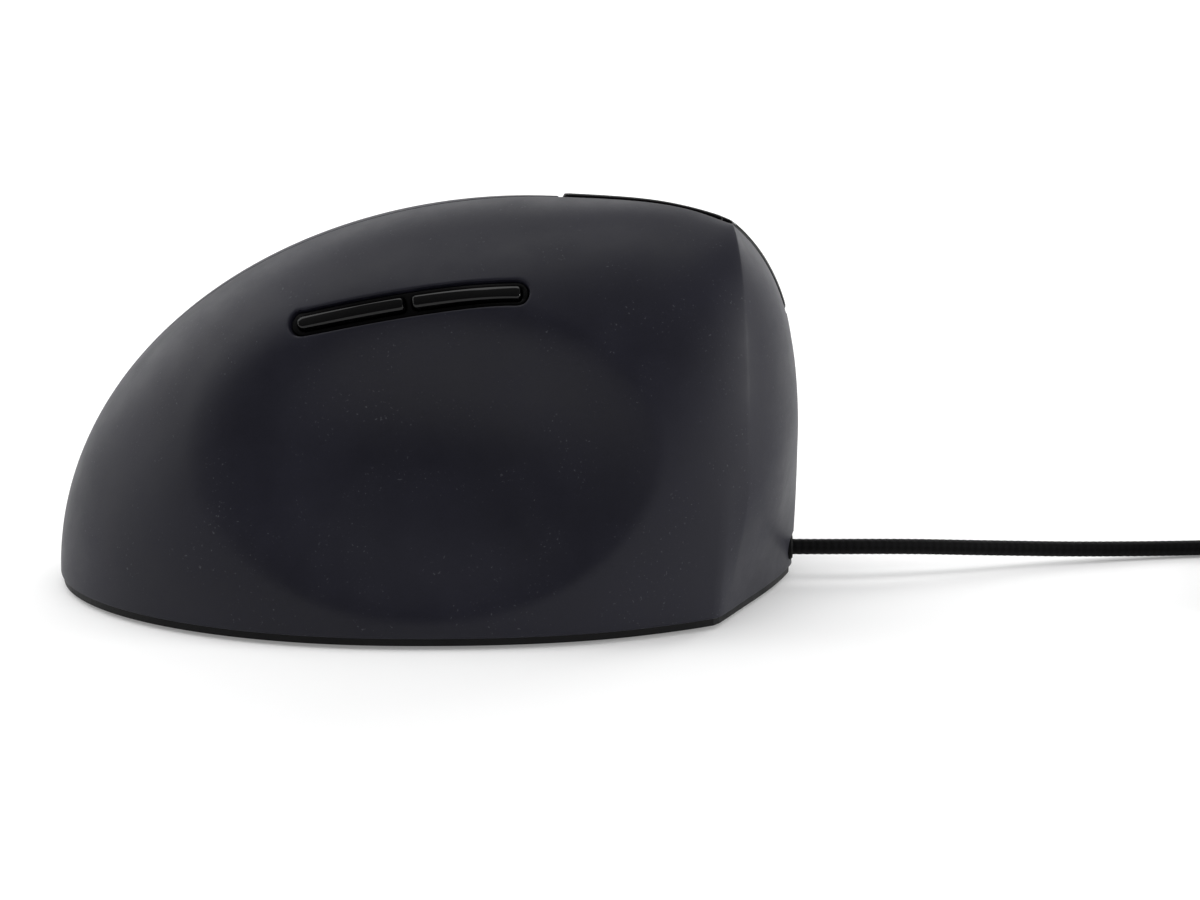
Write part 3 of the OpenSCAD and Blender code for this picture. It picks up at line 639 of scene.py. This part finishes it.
def cord_mesh(name, path, r, sides, fine_until, material):
    """A round tube with a raised braid along its first stretch, and a UV map of turns by braid lengths."""
    total = length_of(path)
    runs = np.concatenate([np.arange(0, fine_until, 0.3), np.arange(fine_until, total, 1.05), [total]])
    places = resampled(path, runs)
    along = np.gradient(places, axis=0)
    along /= np.linalg.norm(along, axis=1)[:, None]
    side = np.cross(along, [0, 0.02, 1])
    side /= np.linalg.norm(side, axis=1)[:, None]
    up = np.cross(side, along)
    around = np.linspace(0, 1, sides, endpoint=False)
    lift = np.clip((fine_until - runs) / 6, 0, 1)[:, None]
    spin, wind = 2 * np.pi * BRAID_STRANDS * around[None, :], 2 * np.pi * runs[:, None] / BRAID_LAY
    radius = r * (1 - 0.03 + 0.03 * lift * np.sin(spin + wind) * np.sin(spin - wind))
    c, s = np.cos(2 * np.pi * around), np.sin(2 * np.pi * around)
    outward = c[None, :, None] * side[:, None] + s[None, :, None] * up[:, None]
    verts = places[:, None] + radius[..., None] * outward
    faces = tube_faces(len(runs), sides, True)
    obj = new_mesh(name, [(verts.reshape(-1, 3), faces)], material)
    layer = obj.data.uv_layers.new(name="UVMap")
    for face in obj.data.polygons:
        wraps = len(face.vertices) == 4 and any(v % sides == 0 for v in face.vertices)
        wraps = wraps and any(v % sides == sides - 1 for v in face.vertices)
        for loop, v in zip(face.loop_indices, face.vertices):
            turn = v % sides / sides
            seam = 1 if wraps and v % sides == 0 else 0
            layer.data[loop].uv = (turn + seam, runs[v // sides] / BRAID_LAY)
    return obj


coil = np.array([coil_place(t) for t in np.arange(0, COIL_TURNS, 1 / 48)])
cord_path = np.concatenate([curve(LEAD, 8), coil[1:-1], curve(TAIL, 8)[2:]])
cord = cord_mesh("cord", cord_path, CORD_D / 2, 24, 70, FINISH["cord_black"])
stands_for(cord, "cord_lead", "cord_coil", "cord_tail")
print("cord length", round(length_of(cord_path), 1))

# ---- Shells ----
POST_FOOT = 3.4
THUMB_POSTS = ((-38, -12, 40.3), (47.5, -13, 58.8))
PALM_POSTS = ((-30, 20, 35.4), (24, 30.8, 16.5))
POST_R, POST_BORE, POST_BORE_DEEP = 2.0, 0.8, 6.0
OPENING, OPENING_ENDS = 2.2, (-19.7, 19.2)
BEZEL, BEZEL_ENDS = 2.0, (-19.5, 19.0)
CORD_Z, CORD_HOLE_R = 5.2, 2.25
RING_STEPS = (0.3, 0.55, 0.75, 0.87, 0.94, 0.98, 1.0)


def thumb_place(p, v):
    """Level v is 0 at the lower edge, 0.5 on the side buttons' arc and 1 on the ridge."""
    mid = arc_share(p)
    top = np.sin(mix(np.arcsin(mid), np.pi / 2, np.clip(2 * v - 1, 0, 1)))
    return p, np.where(v < 0.5, 2 * v * mid, top)


def thumb_level(p, h):
    mid = arc_share(p)
    over = (np.arcsin(np.clip(h, 0, 1)) - np.arcsin(mid)) / (np.pi / 2 - np.arcsin(mid))
    return np.where(h < mid, 0.5 * h / mid, 0.5 + 0.5 * over)


def loop_square(layout, loop):
    """The loop's places as -1 to 1 across each way of the rectangle that it bounds."""
    uv = np.concatenate(layout.uv)[loop]
    low, high = uv.min(0), uv.max(0)
    return (2 * uv - low - high) / (high - low)


def thumb_shell():
    near_p, near_v = (0.12, 0.28, 0.5, 0.8), (0.0015, 0.0035, 0.006, 0.01)
    crease = [CREASE_AT + d for d in (-1.5, -0.8, -0.4, -0.2, 0, 0.2, 0.4, 0.8, 1.5)]
    us = close_to_ends(NOSE_SEAM, 25, 26, near_p, (True, False)) + crease
    us += close_to_ends(29, 180, 138, near_p, (False, True))
    vs = close_to_ends(0, 0.46, 44, near_v, (True, False)) + list(np.linspace(0.468, 0.548, 12))
    vs += close_to_ends(0.56, 1, 30, (0.004, 0.009, 0.015), (False, True))
    layout = Layout(us, vs)
    loop = layout.cut(88, 149, 0.452, 0.556)
    square = loop_square(layout, loop)
    middle, half = (OPENING_ENDS[0] + OPENING_ENDS[1]) / 2, (OPENING_ENDS[1] - OPENING_ENDS[0]) / 2
    a, b = corner_map(-square[:, 0] * half, square[:, 1] * OPENING, half, OPENING, OPENING)
    p, h = on_arc(middle + a, b)
    layout.ring(loop, np.stack([p, thumb_level(p, h)], -1), RING_STEPS)
    low, high = ((CORD_Z + d - SHELL_Z) / (RIDGE_TOP - RIDGE_DROP - SHELL_Z) for d in (-2.3, 2.5))
    cord_hole = layout.cut(-2.8, 2.8, thumb_level(0.0, low), thumb_level(0.0, high))
    square = loop_square(layout, cord_hole)
    spot = square / np.hypot(*square.T)[:, None] * CORD_HOLE_R
    h = (CORD_Z + spot[:, 1] - SHELL_Z) / (RIDGE_TOP - RIDGE_DROP - SHELL_Z)
    p = np.degrees(spot[:, 0] / NOSE_LEN)
    layout.ring(cord_hole, np.stack([p, thumb_level(p, h)], -1), RING_STEPS)
    posts = [bored_post(at, at[2], POST_R, POST_BORE, POST_BORE_DEEP) for at in THUMB_POSTS]
    parts = [sheet(layout, thumb_place, 0, WALL, 0.3)] + posts
    return new_mesh("thumb_shell_form", parts, FINISH["soft_coat"])


def palm_place(u, v):
    """u is 0 at the tail, 1 beside the finger buttons and 2 at the nose; v is 0, 1 and 2 up the same way."""
    skirt = MIDDLE_LOW - SEAM_SHARE
    low, high = skirt * np.clip(v, 0, 1), np.sin(mix(np.arcsin(skirt), np.pi / 2, np.clip(v - 1, 0, 1)))
    h = np.where(v < 1, low, high)
    rear = angle_at(rear_x(h) - SEAM, h)
    return np.where(u < 1, mix(-180, rear, np.clip(u, 0, 1)), mix(rear, NOSE_SEAM, np.clip(u - 1, 0, 1))), h


def palm_shell():
    near = (0.0012, 0.003, 0.006, 0.01)
    wide = (0.003, 0.007, 0.013)
    us = close_to_ends(0, 1, 84, near) + close_to_ends(1, 2, 84, near)[1:]
    vs = close_to_ends(0, 1, 18, (0.01, 0.025, 0.05)) + close_to_ends(1, 2, 66, wide)[1:]
    layout = Layout(us, vs)
    layout.cut(1, 2, 1, 2)
    posts = [bored_post(at, at[2], POST_R, POST_BORE, POST_BORE_DEEP) for at in PALM_POSTS]
    return new_mesh("palm_shell_form", [sheet(layout, palm_place, 0, WALL, 0.3)] + posts, FINISH["soft_coat"])


stands_for(thumb_shell(), "thumb_shell")
stands_for(palm_shell(), "palm_shell")

# ---- Finger buttons ----
INDEX_Y, MIDDLE_Y, STEM_X = -15, 14, -1
INDEX_HINGE_X, MIDDLE_HINGE_X, HINGE_Z, AXLE_R = -21.5, -25, -7, 1.25
SWITCH_TOP, PLUNGER_RISE, PRESS_GAP = -13.2 + 1.6 + 6.6, 0.7, 0.05
BUTTON_PROUD = 0.5


def finger_place(low, high, at, back, size, r):
    """A place function for a patch of the finger side, its corners rounded to r on a patch about size."""
    def place(u, v):
        a, b = corner_map((u - 0.5) * size[0], (v - 0.5) * size[1], size[0] / 2, size[1] / 2, r)
        u, v = np.clip(a / size[0] + 0.5, 0, 1), np.clip(b / size[1] + 0.5, 0, 1)
        h = np.sin(mix(np.arcsin(low), np.arcsin(high), v))
        rear, front = angle_at(rear_x(h) + back, h), front_angle(at, h)
        return mix(rear, front, u**0.8), h
    return place


def hinge_arm(x, y, high):
    outline_points = [(x, HINGE_Z - 1.8), (x, HINGE_Z + 1.4), (x + 5.5, HINGE_Z + 1.4), (x + 6.3, high),
                      (x + 9.3, high), (x + 9.3, HINGE_Z - 1.8)]
    axle, faces = turned(rod(AXLE_R, -5.5, 5.5), 32, (x, y, HINGE_Z), (0, 1, 0))
    return [prism(outline_points, y - 1.5, y + 1.5, on_finger), (on_finger(axle), faces)]


def press_stem(x, y):
    low = SWITCH_TOP + PLUNGER_RISE + PRESS_GAP
    places, faces = turned(rod(1.4, low, low + 2.4), 32, (x, y, 0))
    return [(on_finger(places), faces)]


def finger_button(name, rows, at, size, y, arm):
    near_u, near_v = (0.002, 0.005, 0.010, 0.016, 0.026), (0.004, 0.009, 0.016, 0.026, 0.04)
    layout = Layout(close_to_ends(0, 1, 70, near_u), close_to_ends(0, 1, 44, near_v))
    place = finger_place(rows[0] + SEAM_SHARE, rows[1], at, SEAM, size, 1.0)
    parts = [sheet(layout, place, -BUTTON_PROUD, 1.5, 0.55)]
    parts += hinge_arm(arm[0], y, arm[1]) + press_stem(STEM_X, y)
    return new_mesh(name, parts, FINISH["gloss_black"])


index_rows, index_arm = (STRIP_HIGH, 0.9988), (INDEX_HINGE_X, -2.4)
index = finger_button("index_button_form", index_rows, NOSE_SEAM, (36, 27), INDEX_Y, index_arm)
middle_rows = (MIDDLE_LOW, STRIP_LOW - SEAM_SHARE)
middle_arm = (MIDDLE_HINGE_X, -1.2)
middle = finger_button("middle_button_form", middle_rows, MIDDLE_NOSE, (45, 20), MIDDLE_Y, middle_arm)
stands_for(index, "index_button")
stands_for(middle, "middle_button")

# ---- Wheel strip, wheel and the small button behind it ----
SLOT_LENGTH, SLOT_WIDTH, DPI_HOLE, STRIP_PROUD = 21.0, WHEEL_W + 1.4, (6.6, 4.2), 0.4


def find_on_strip(place, xy, start):
    """Grid places whose points lie at the given x and y of the finger frame, by Newton steps."""
    uv, tiny = np.array(start, float), 1e-4
    for _ in range(12):
        here = to_finger(skin(*place(uv[:, 0], uv[:, 1]), -STRIP_PROUD))[:, :2]
        du = (to_finger(skin(*place(uv[:, 0] + tiny, uv[:, 1]), -STRIP_PROUD))[:, :2] - here) / tiny
        dv = (to_finger(skin(*place(uv[:, 0], uv[:, 1] + tiny), -STRIP_PROUD))[:, :2] - here) / tiny
        off = xy - here
        area = du[:, 0] * dv[:, 1] - du[:, 1] * dv[:, 0]
        uv[:, 0] += (off[:, 0] * dv[:, 1] - off[:, 1] * dv[:, 0]) / area
        uv[:, 1] += (du[:, 0] * off[:, 1] - du[:, 1] * off[:, 0]) / area
        uv = np.clip(uv, 0.02, 0.98)
    return uv


def wheel_strip():
    near_u, near_v = (0.002, 0.005, 0.010, 0.018), (0.01, 0.022, 0.04)
    layout = Layout(close_to_ends(0, 1, 90, near_u), close_to_ends(0, 1, 24, near_v))
    place = finger_place(STRIP_LOW + SEAM_SHARE, STRIP_HIGH - SEAM_SHARE, NOSE_SEAM - 1, SEAM, (46, 12), 0.8)
    plain = finger_place(STRIP_LOW + SEAM_SHARE, STRIP_HIGH - SEAM_SHARE, NOSE_SEAM - 1, SEAM, (46, 12), 1e-6)
    for x, (length, width) in ((0, (SLOT_LENGTH, SLOT_WIDTH)), (DPI_X, DPI_HOLE)):
        reach = np.array([[x - length / 2 - 0.9, 0], [x + length / 2 + 0.9, 0], [x, -width / 2 - 0.8],
                          [x, width / 2 + 0.8]])
        span = find_on_strip(plain, reach, np.full((4, 2), 0.5))
        loop = layout.cut(span[0, 0], span[1, 0], span[2, 1], span[3, 1])
        square = loop_square(layout, loop)
        a, b = square[:, 0] * length / 2, square[:, 1] * width / 2
        a, b = corner_map(a, b, length / 2, width / 2, width / 2)
        start = np.concatenate(layout.uv)[loop]
        target = find_on_strip(plain, np.stack([x + a, -b], -1), start)
        layout.ring(loop, target, RING_STEPS)
    return new_mesh("wheel_strip_form", [sheet(layout, place, -STRIP_PROUD, 2.2, 0.4)], FINISH["gloss_black"])


stands_for(wheel_strip(), "wheel_strip")
TYRE_GROOVES, TYRE_INNER = 30, WHEEL_R - 1.75


def wheel_tyre():
    """A rubber ring with soft ribs across it and rounded shoulders."""
    half, turns = WHEEL_W / 2, TYRE_GROOVES * 12
    side = [(TYRE_INNER, -half + 0.1), (WHEEL_R - 0.9, -half), (WHEEL_R - 0.55, -half + 0.05)]
    shoulder = [(WHEEL_R - 0.55 * (1 - math.sin(t)), -half + 0.05 + 0.55 * (1 - math.cos(t)))
                for t in np.radians((18, 36, 54, 72))]
    tread = [(WHEEL_R, y) for y in np.linspace(-half + 0.6, 0, 4)]
    left = side + shoulder + tread
    profile = np.array(left + [(r, -y) for r, y in left[-2::-1]])
    turn = np.linspace(0, 2 * np.pi, turns, endpoint=False)
    dip = 0.42 * smooth((np.cos(TYRE_GROOVES * turn) - 0.1) / 0.75)
    reach = smooth((profile[:, 0] - (WHEEL_R - 0.85)) / 0.55)
    r = profile[None, :, 0] - dip[:, None] * reach[None, :]
    y = np.broadcast_to(profile[None, :, 1], r.shape)
    places = np.stack([r * np.cos(turn)[:, None], y, r * np.sin(turn)[:, None] - WHEEL_DEPTH], -1)
    faces = tube_faces(turns, len(profile), looped=True)
    part = (on_finger(places.reshape(-1, 3)), faces)
    return new_mesh("wheel_tyre_form", [part], FINISH["wheel_rubber"], 50)


def stadium_stack(levels, length, width, count=48):
    """A solid with an oblong plan; levels are pairs of inset and height, from one face to the other."""
    turn = np.linspace(0, 2 * np.pi, count, endpoint=False)
    shift = np.sign(np.cos(turn)) * (length - width) / 2
    rings = []
    for inset, z in levels:
        r = width / 2 - inset
        rings.append(np.stack([shift + r * np.cos(turn), r * np.sin(turn), np.full(count, z)], -1))
    return np.concatenate(rings), tube_faces(len(rings), count, True)


def dpi_button():
    """A small oblong key with a dished top, a flange under the strip and a stem to its switch."""
    top = [(0.0, -3.6), (0.0, 0.55)] + [(0.4 * (1 - math.cos(t)), 0.55 + 0.4 * math.sin(t))
                                        for t in np.radians((18, 36, 54, 72, 90))] + [(0.8, 0.92), (1.3, 0.86)]
    flange = [(0.15, -4.6), (0.0, -4.45), (0.0, -3.75), (0.15, -3.6)]
    stem_low = -13.2 + 1.6 + 3.4 + PLUNGER_RISE + PRESS_GAP
    parts = [stadium_stack(top, 6, 3.6), stadium_stack(flange, 8, 5.2), turned(rod(1.3, stem_low, -4.4), 32)]
    moved = [(on_finger(places + np.array([DPI_X, 0, 0])), faces) for places, faces in parts]
    return new_mesh("dpi_button_form", moved, FINISH["gloss_black"])


stands_for(wheel_tyre(), "wheel_tyre")
stands_for(dpi_button(), "dpi_button")

# ---- Side buttons and their surround ----
BAR_HALF = 1.02
REAR_BAR, FRONT_BAR = (-18.1, -0.75), (0.72, 17.75)
BAR_GAP, BAR_CORNER, BAR_REAR_CORNER = 0.26, 0.55, 0.92
SIDE_PROUD, BEZEL_DEEP = 0.8, 0.5
STEM_R, SIDE_SWITCH_TOP = 0.8, -8.6 + 3.4
BACK_STEM, FORWARD_STEM = (-8, -1.8), (9, -0.3)


def bar_corner(a):
    """Corner radius of a bar's end on the side of a; the rearmost end is almost a half circle."""
    return np.where(a < REAR_BAR[0] + 3, BAR_REAR_CORNER, BAR_CORNER)


def bezel_sheet(half, ends, outer, inner, roll, shrink):
    """The surround's plate with both openings, or the wider flange behind it."""
    cut_half = BAR_HALF + BAR_GAP + 0.3
    us = sorted(close_to_ends(ends[0], ends[1], 84, (0.05, 0.12, 0.2, 0.3)) + [0.0])
    vs = close_to_ends(-half, -cut_half, 3, (0.05, 0.12, 0.2, 0.3))[:-1]
    vs += list(np.linspace(-cut_half, cut_half, 9)) + [-v for v in vs[::-1]]
    layout = Layout(us, vs)
    middle, reach = (ends[0] + ends[1]) / 2, (ends[1] - ends[0]) / 2
    for a0, a1 in (REAR_BAR, FRONT_BAR):
        loop = layout.cut(a0 - 0.5, a1 + 0.5, -cut_half, cut_half)
        square = loop_square(layout, loop)
        half_a, half_b = (a1 - a0) / 2 + BAR_GAP - shrink, BAR_HALF + BAR_GAP - shrink
        a, b = square[:, 0] * half_a, square[:, 1] * half_b
        a, b = corner_map(a, b, half_a, half_b, bar_corner((a0 + a1) / 2 + a) + BAR_GAP)
        a, b = corner_map((a0 + a1) / 2 + a - middle, b, reach, half, half, back=True)
        layout.ring(loop, np.stack([middle + a, b], -1), RING_STEPS)

    def place(a, b):
        a, b = corner_map(a - middle, b, reach, half, half)
        return on_arc(middle + a, b)

    return sheet(layout, place, outer, inner, roll)


def side_bezel():
    plate = bezel_sheet(BEZEL, BEZEL_ENDS, BEZEL_DEEP, 2.9, 0.25, 0)
    flange = bezel_sheet(3.1, (BEZEL_ENDS[0] - 1.6, BEZEL_ENDS[1] + 1.6), 2.45, 3.3, 0.1, -0.05)
    posts = [turned(rod(1.3, -8.6, -4.0), 32, (x, y, 0)) for x, y in ((-20.4, -3.2), (17.7, -0.3))]
    posts = [(places @ THUMB_TURN.T + THUMB_ORIGIN, faces) for places, faces in posts]
    return new_mesh("side_bezel_form", [plate, flange] + posts, FINISH["bezel_black"])


def side_button(name, ends, stem):
    """A slim glossy bar with a rounded rim and a slightly crowned top, and its stem."""
    near = (0.04, 0.09, 0.16, 0.25, 0.36)
    us = close_to_ends(ends[0], ends[1], 60, near)
    layout = Layout(us, close_to_ends(-BAR_HALF, BAR_HALF, 8, near))
    middle, half = (ends[0] + ends[1]) / 2, (ends[1] - ends[0]) / 2

    def place(a, b):
        a, b = corner_map(a - middle, b, half, BAR_HALF, bar_corner(a))
        return on_arc(middle + a, b)

    bar = sheet(layout, place, BEZEL_DEEP - SIDE_PROUD, 3.1, 0.36, crown=0.1, half=BAR_HALF)
    low = SIDE_SWITCH_TOP + PLUNGER_RISE + PRESS_GAP
    places, faces = turned(rod(STEM_R, low, low + 2.2), 24, (*stem, 0))
    return new_mesh(name, [bar, (places @ THUMB_TURN.T + THUMB_ORIGIN, faces)], FINISH["gloss_black"])


stands_for(side_bezel(), "side_bezel")
stands_for(side_button("back_button_form", REAR_BAR, BACK_STEM), "back_button")
stands_for(side_button("forward_button_form", FRONT_BAR, FORWARD_STEM), "forward_button")

# ---- USB plug and the coil's tie ----
BOOT_LEN, GRIP_SIZE, GRIP_ROUND = 9, (25, 15.6, 8), 2.5
SHELL_SIZE, SHELL_WALL = (14, 12, 4.5), 0.3
BOOT_RIBS, RIB_DEEP = 5, 0.35


def rounded_ring(x, width, height, r, count):
    """Places round a rounded rectangle square to the plug, at x along it."""
    turn = np.linspace(0, 2 * np.pi, count, endpoint=False) + np.pi / count
    y = np.sign(np.cos(turn)) * max(0, width / 2 - r) + r * np.cos(turn)
    z = np.sign(np.sin(turn)) * max(0, height / 2 - r) + r * np.sin(turn)
    return np.stack([np.full(count, float(x)), y, z], -1) + np.array(PLUG_AT)


def plug_body():
    """The overmould: a ribbed boot that grows into a rounded grip with shallow finger ridges."""
    count, rings = 64, []
    for x in np.linspace(0, BOOT_LEN, 46):
        r = mix(1.9, 2.9, x / BOOT_LEN)
        r -= RIB_DEEP * smooth((math.cos(2 * math.pi * (x / BOOT_LEN * BOOT_RIBS + 0.5)) - 0.2) / 0.6)
        rings.append(rounded_ring(x, 2 * r, 2 * r, r, count))
    for t in np.linspace(0, np.pi / 2, 9):
        inset = 1.6 * (1 - math.sin(t))
        x = BOOT_LEN + 1.6 * (1 - math.cos(t))
        width, height = (side - 2 * inset for side in GRIP_SIZE[1:])
        rings.append(rounded_ring(x, width, height, GRIP_ROUND - 0.4 * inset, count))
    for x in np.linspace(BOOT_LEN + 2, BOOT_LEN + GRIP_SIZE[0] - 1, 90):
        share = (x - BOOT_LEN) / GRIP_SIZE[0]
        wave = math.sin(2 * math.pi * (x - BOOT_LEN) / 1.8)
        ridge = 0.3 * smooth((wave - 0.1) / 0.6) * (0.3 < share < 0.66)
        wide, high = GRIP_SIZE[1] - 2 * ridge, GRIP_SIZE[2] - 2 * ridge
        rings.append(rounded_ring(x, wide, high, GRIP_ROUND - ridge, count))
    for t in np.linspace(0.2, np.pi / 2, 6):
        inset = 0.8 * (1 - math.cos(t))
        x = BOOT_LEN + GRIP_SIZE[0] - 0.8 * (1 - math.sin(t))
        width, height = (side - 2 * inset for side in GRIP_SIZE[1:])
        rings.append(rounded_ring(x, width, height, GRIP_ROUND - inset, count))
    part = (np.concatenate(rings), tube_faces(len(rings), count, True))
    return new_mesh("plug_body_form", [part], FINISH["plug_black"], 35)


def plug_shell():
    """The folded steel shell, open at its mouth, with two windows in each wide face."""
    length, width, height = SHELL_SIZE
    r, start = 0.7, BOOT_LEN + GRIP_SIZE[0]
    flat_w, flat_h = width - 2 * r, height - 2 * r
    across = [-flat_w / 2, -4.1, -3.2, -2.3, -1.4, 0, 1.4, 2.3, 3.2, 4.1, flat_w / 2]
    corner = np.radians(np.linspace(90, 0, 7))[1:-1]
    top = [(y, height / 2, 0, 1) for y in across]
    turns = [(math.cos(t), math.sin(t)) for t in corner]
    right = [(flat_w / 2 + r * c, flat_h / 2 + r * s, c, s) for c, s in turns]
    half = top + right + [(width / 2, flat_h / 2, 1, 0), (width / 2, 0, 1, 0)]
    half += [(y, -z, ny, -nz) for y, z, ny, nz in reversed(right + [(width / 2, flat_h / 2, 1, 0)])]
    ring = half + [(-y, -z, -ny, -nz) for y, z, ny, nz in half]
    count = len(ring)
    xs = [start, start + 0.3] + [start + v for v in (3, 5.2, 6.1, 7, 7.7, 9, 11, 12.6, 13.4, length)]
    table = np.array(ring)
    outer, inner = [], []
    for x in xs:
        flare = 0.12 * max(0, (x - start - 12.6) / 1.4)
        for rows, offset in ((outer, -flare), (inner, -flare - SHELL_WALL)):
            yz = table[:, :2] + offset * table[:, 2:]
            rows.append(np.concatenate([np.full((count, 1), x), yz], 1) + np.array(PLUG_AT))
    gone = set()
    for i in (3, 4, 5):
        for first in (1, 2, 6, 7):
            gone |= {(i, first), (i, first + count // 2)}
    quads = []
    for i in range(len(xs) - 1):
        for k in range(count):
            if (i, k) not in gone:
                a, b = i * count + k, i * count + (k + 1) % count
                quads.append((a, b, b + count, a + count))
    part = wall(np.concatenate(outer), np.concatenate(inner), quads)
    return new_mesh("plug_shell_form", [part], FINISH["plug_steel"])


def cord_tie():
    """A woven strap drawn round one side of the coil as a closed loop."""
    width, thick, r = 5.0, 0.7, 3.2
    in_low, in_high, z_low, z_high = 9.3, 20.5, 0.02, 10.85
    mid_r, mid_z = (in_low + in_high) / 2, (z_low + z_high) / 2
    turn = np.linspace(0, 2 * np.pi, 96, endpoint=False)
    loop = []
    for t in turn:
        c, s = math.cos(t), math.sin(t)
        loop.append((mid_r + math.copysign((in_high - in_low) / 2 - r, c) + r * c,
                     mid_z + math.copysign((z_high - z_low) / 2 - r, s) + r * s, c, s))
    near = [(-0.5, 0.12), (-0.46, 0), (0.46, 0), (0.5, 0.12)]
    section = near + [(w, 1 - d) for w, d in near[::-1]]
    lean, places = math.radians(-45), []
    for rr, z, c, s in loop:
        for w, d in section:
            radius, level = rr - d * thick * c, z - d * thick * s
            off = w * width
            places.append((COIL_AT[0] + radius * math.cos(lean) - off * math.sin(lean),
                           COIL_AT[1] + radius * math.sin(lean) + off * math.cos(lean), level))
    part = (np.array(places), tube_faces(len(loop), len(section), looped=True))
    return new_mesh("cord_tie_form", [part], FINISH["tie_black"], 60)


plug = stands_for(plug_body(), "plug_body")
usb_shell = stands_for(plug_shell(), "plug_shell")
tie = stands_for(cord_tie(), "cord_tie")

# ---- The CAD nodes that stay ----
for node, obj in frame["nodes"].items():
    if node not in replaced:
        obj.data.materials.clear()
        obj.data.materials.append(FINISH[SLOTS[node]])

# ---- Floor and light ----


def studio_floor():
    n = Nodes("studio_floor")
    n.set(Base_Color=n.tint(n.noise(60), (0.80, 0.80, 0.80), (0.82, 0.82, 0.82)), Roughness=0.9)
    n.set(Specular_IOR_Level=0.1, Emission_Strength=0.22)
    side = 3000
    corners = [(-side, -side, 0), (side, -side, 0), (side, side, 0), (-side, side, 0)]
    return new_mesh("studio_floor", [(corners, [(0, 1, 2, 3)])], n.material)


def soft_box(name, place, aim, size, power, colour=(1, 1, 1)):
    light = bpy.data.lights.new(name, "AREA")
    light.shape, light.size, light.size_y = "RECTANGLE", size[0], size[1]
    light.energy, light.color = power, colour
    obj = bpy.data.objects.new(name, light)
    obj.location = place
    obj.rotation_euler = (Vector(aim) - Vector(place)).to_track_quat("-Z", "Y").to_euler()
    bpy.context.scene.collection.objects.link(obj)


def studio_sky(front, back):
    """A white room that darkens towards -Y, the side the thumb faces."""
    world = bpy.data.worlds.new("studio")
    world.use_nodes = True
    nodes, links = world.node_tree.nodes, world.node_tree.links
    coords, split = nodes.new("ShaderNodeTexCoord"), nodes.new("ShaderNodeSeparateXYZ")
    ramp = nodes.new("ShaderNodeMapRange")
    ramp.inputs["From Min"].default_value, ramp.inputs["From Max"].default_value = -0.85, 0.1
    ramp.inputs["To Min"].default_value, ramp.inputs["To Max"].default_value = front, back
    nodes["Background"].inputs["Color"].default_value = (1, 1, 1, 1)
    links.new(coords.outputs["Generated"], split.inputs[0])
    links.new(split.outputs["Y"], ramp.inputs["Value"])
    links.new(ramp.outputs["Result"], nodes["Background"].inputs["Strength"])
    bpy.context.scene.world = world


studio_floor()
studio_sky(0.13, 0.35)
MIDDLE = (0, 0, 0.03)
soft_box("top_light", (0.0, 0.0, 0.9), MIDDLE, (0.8, 0.6), 3.6)
soft_box("top_left_light", (-0.6, 0.15, 0.65), MIDDLE, (0.6, 0.6), 2.2)
soft_box("left_light", (-0.85, 0.0, 0.25), MIDDLE, (0.5, 0.4), 1.3)
soft_box("left_back_light", (-0.6, 0.6, 0.3), MIDDLE, (0.5, 0.4), 1.5)
soft_box("back_light", (0.0, 0.8, 0.5), MIDDLE, (0.9, 0.4), 2.0)
soft_box("right_back_light", (0.6, 0.6, 0.35), MIDDLE, (0.4, 0.4), 2.5)
soft_box("nose_light", (0.75, -0.15, 0.12), (0.05, 0, 0.03), (0.2, 0.3), 3.0)
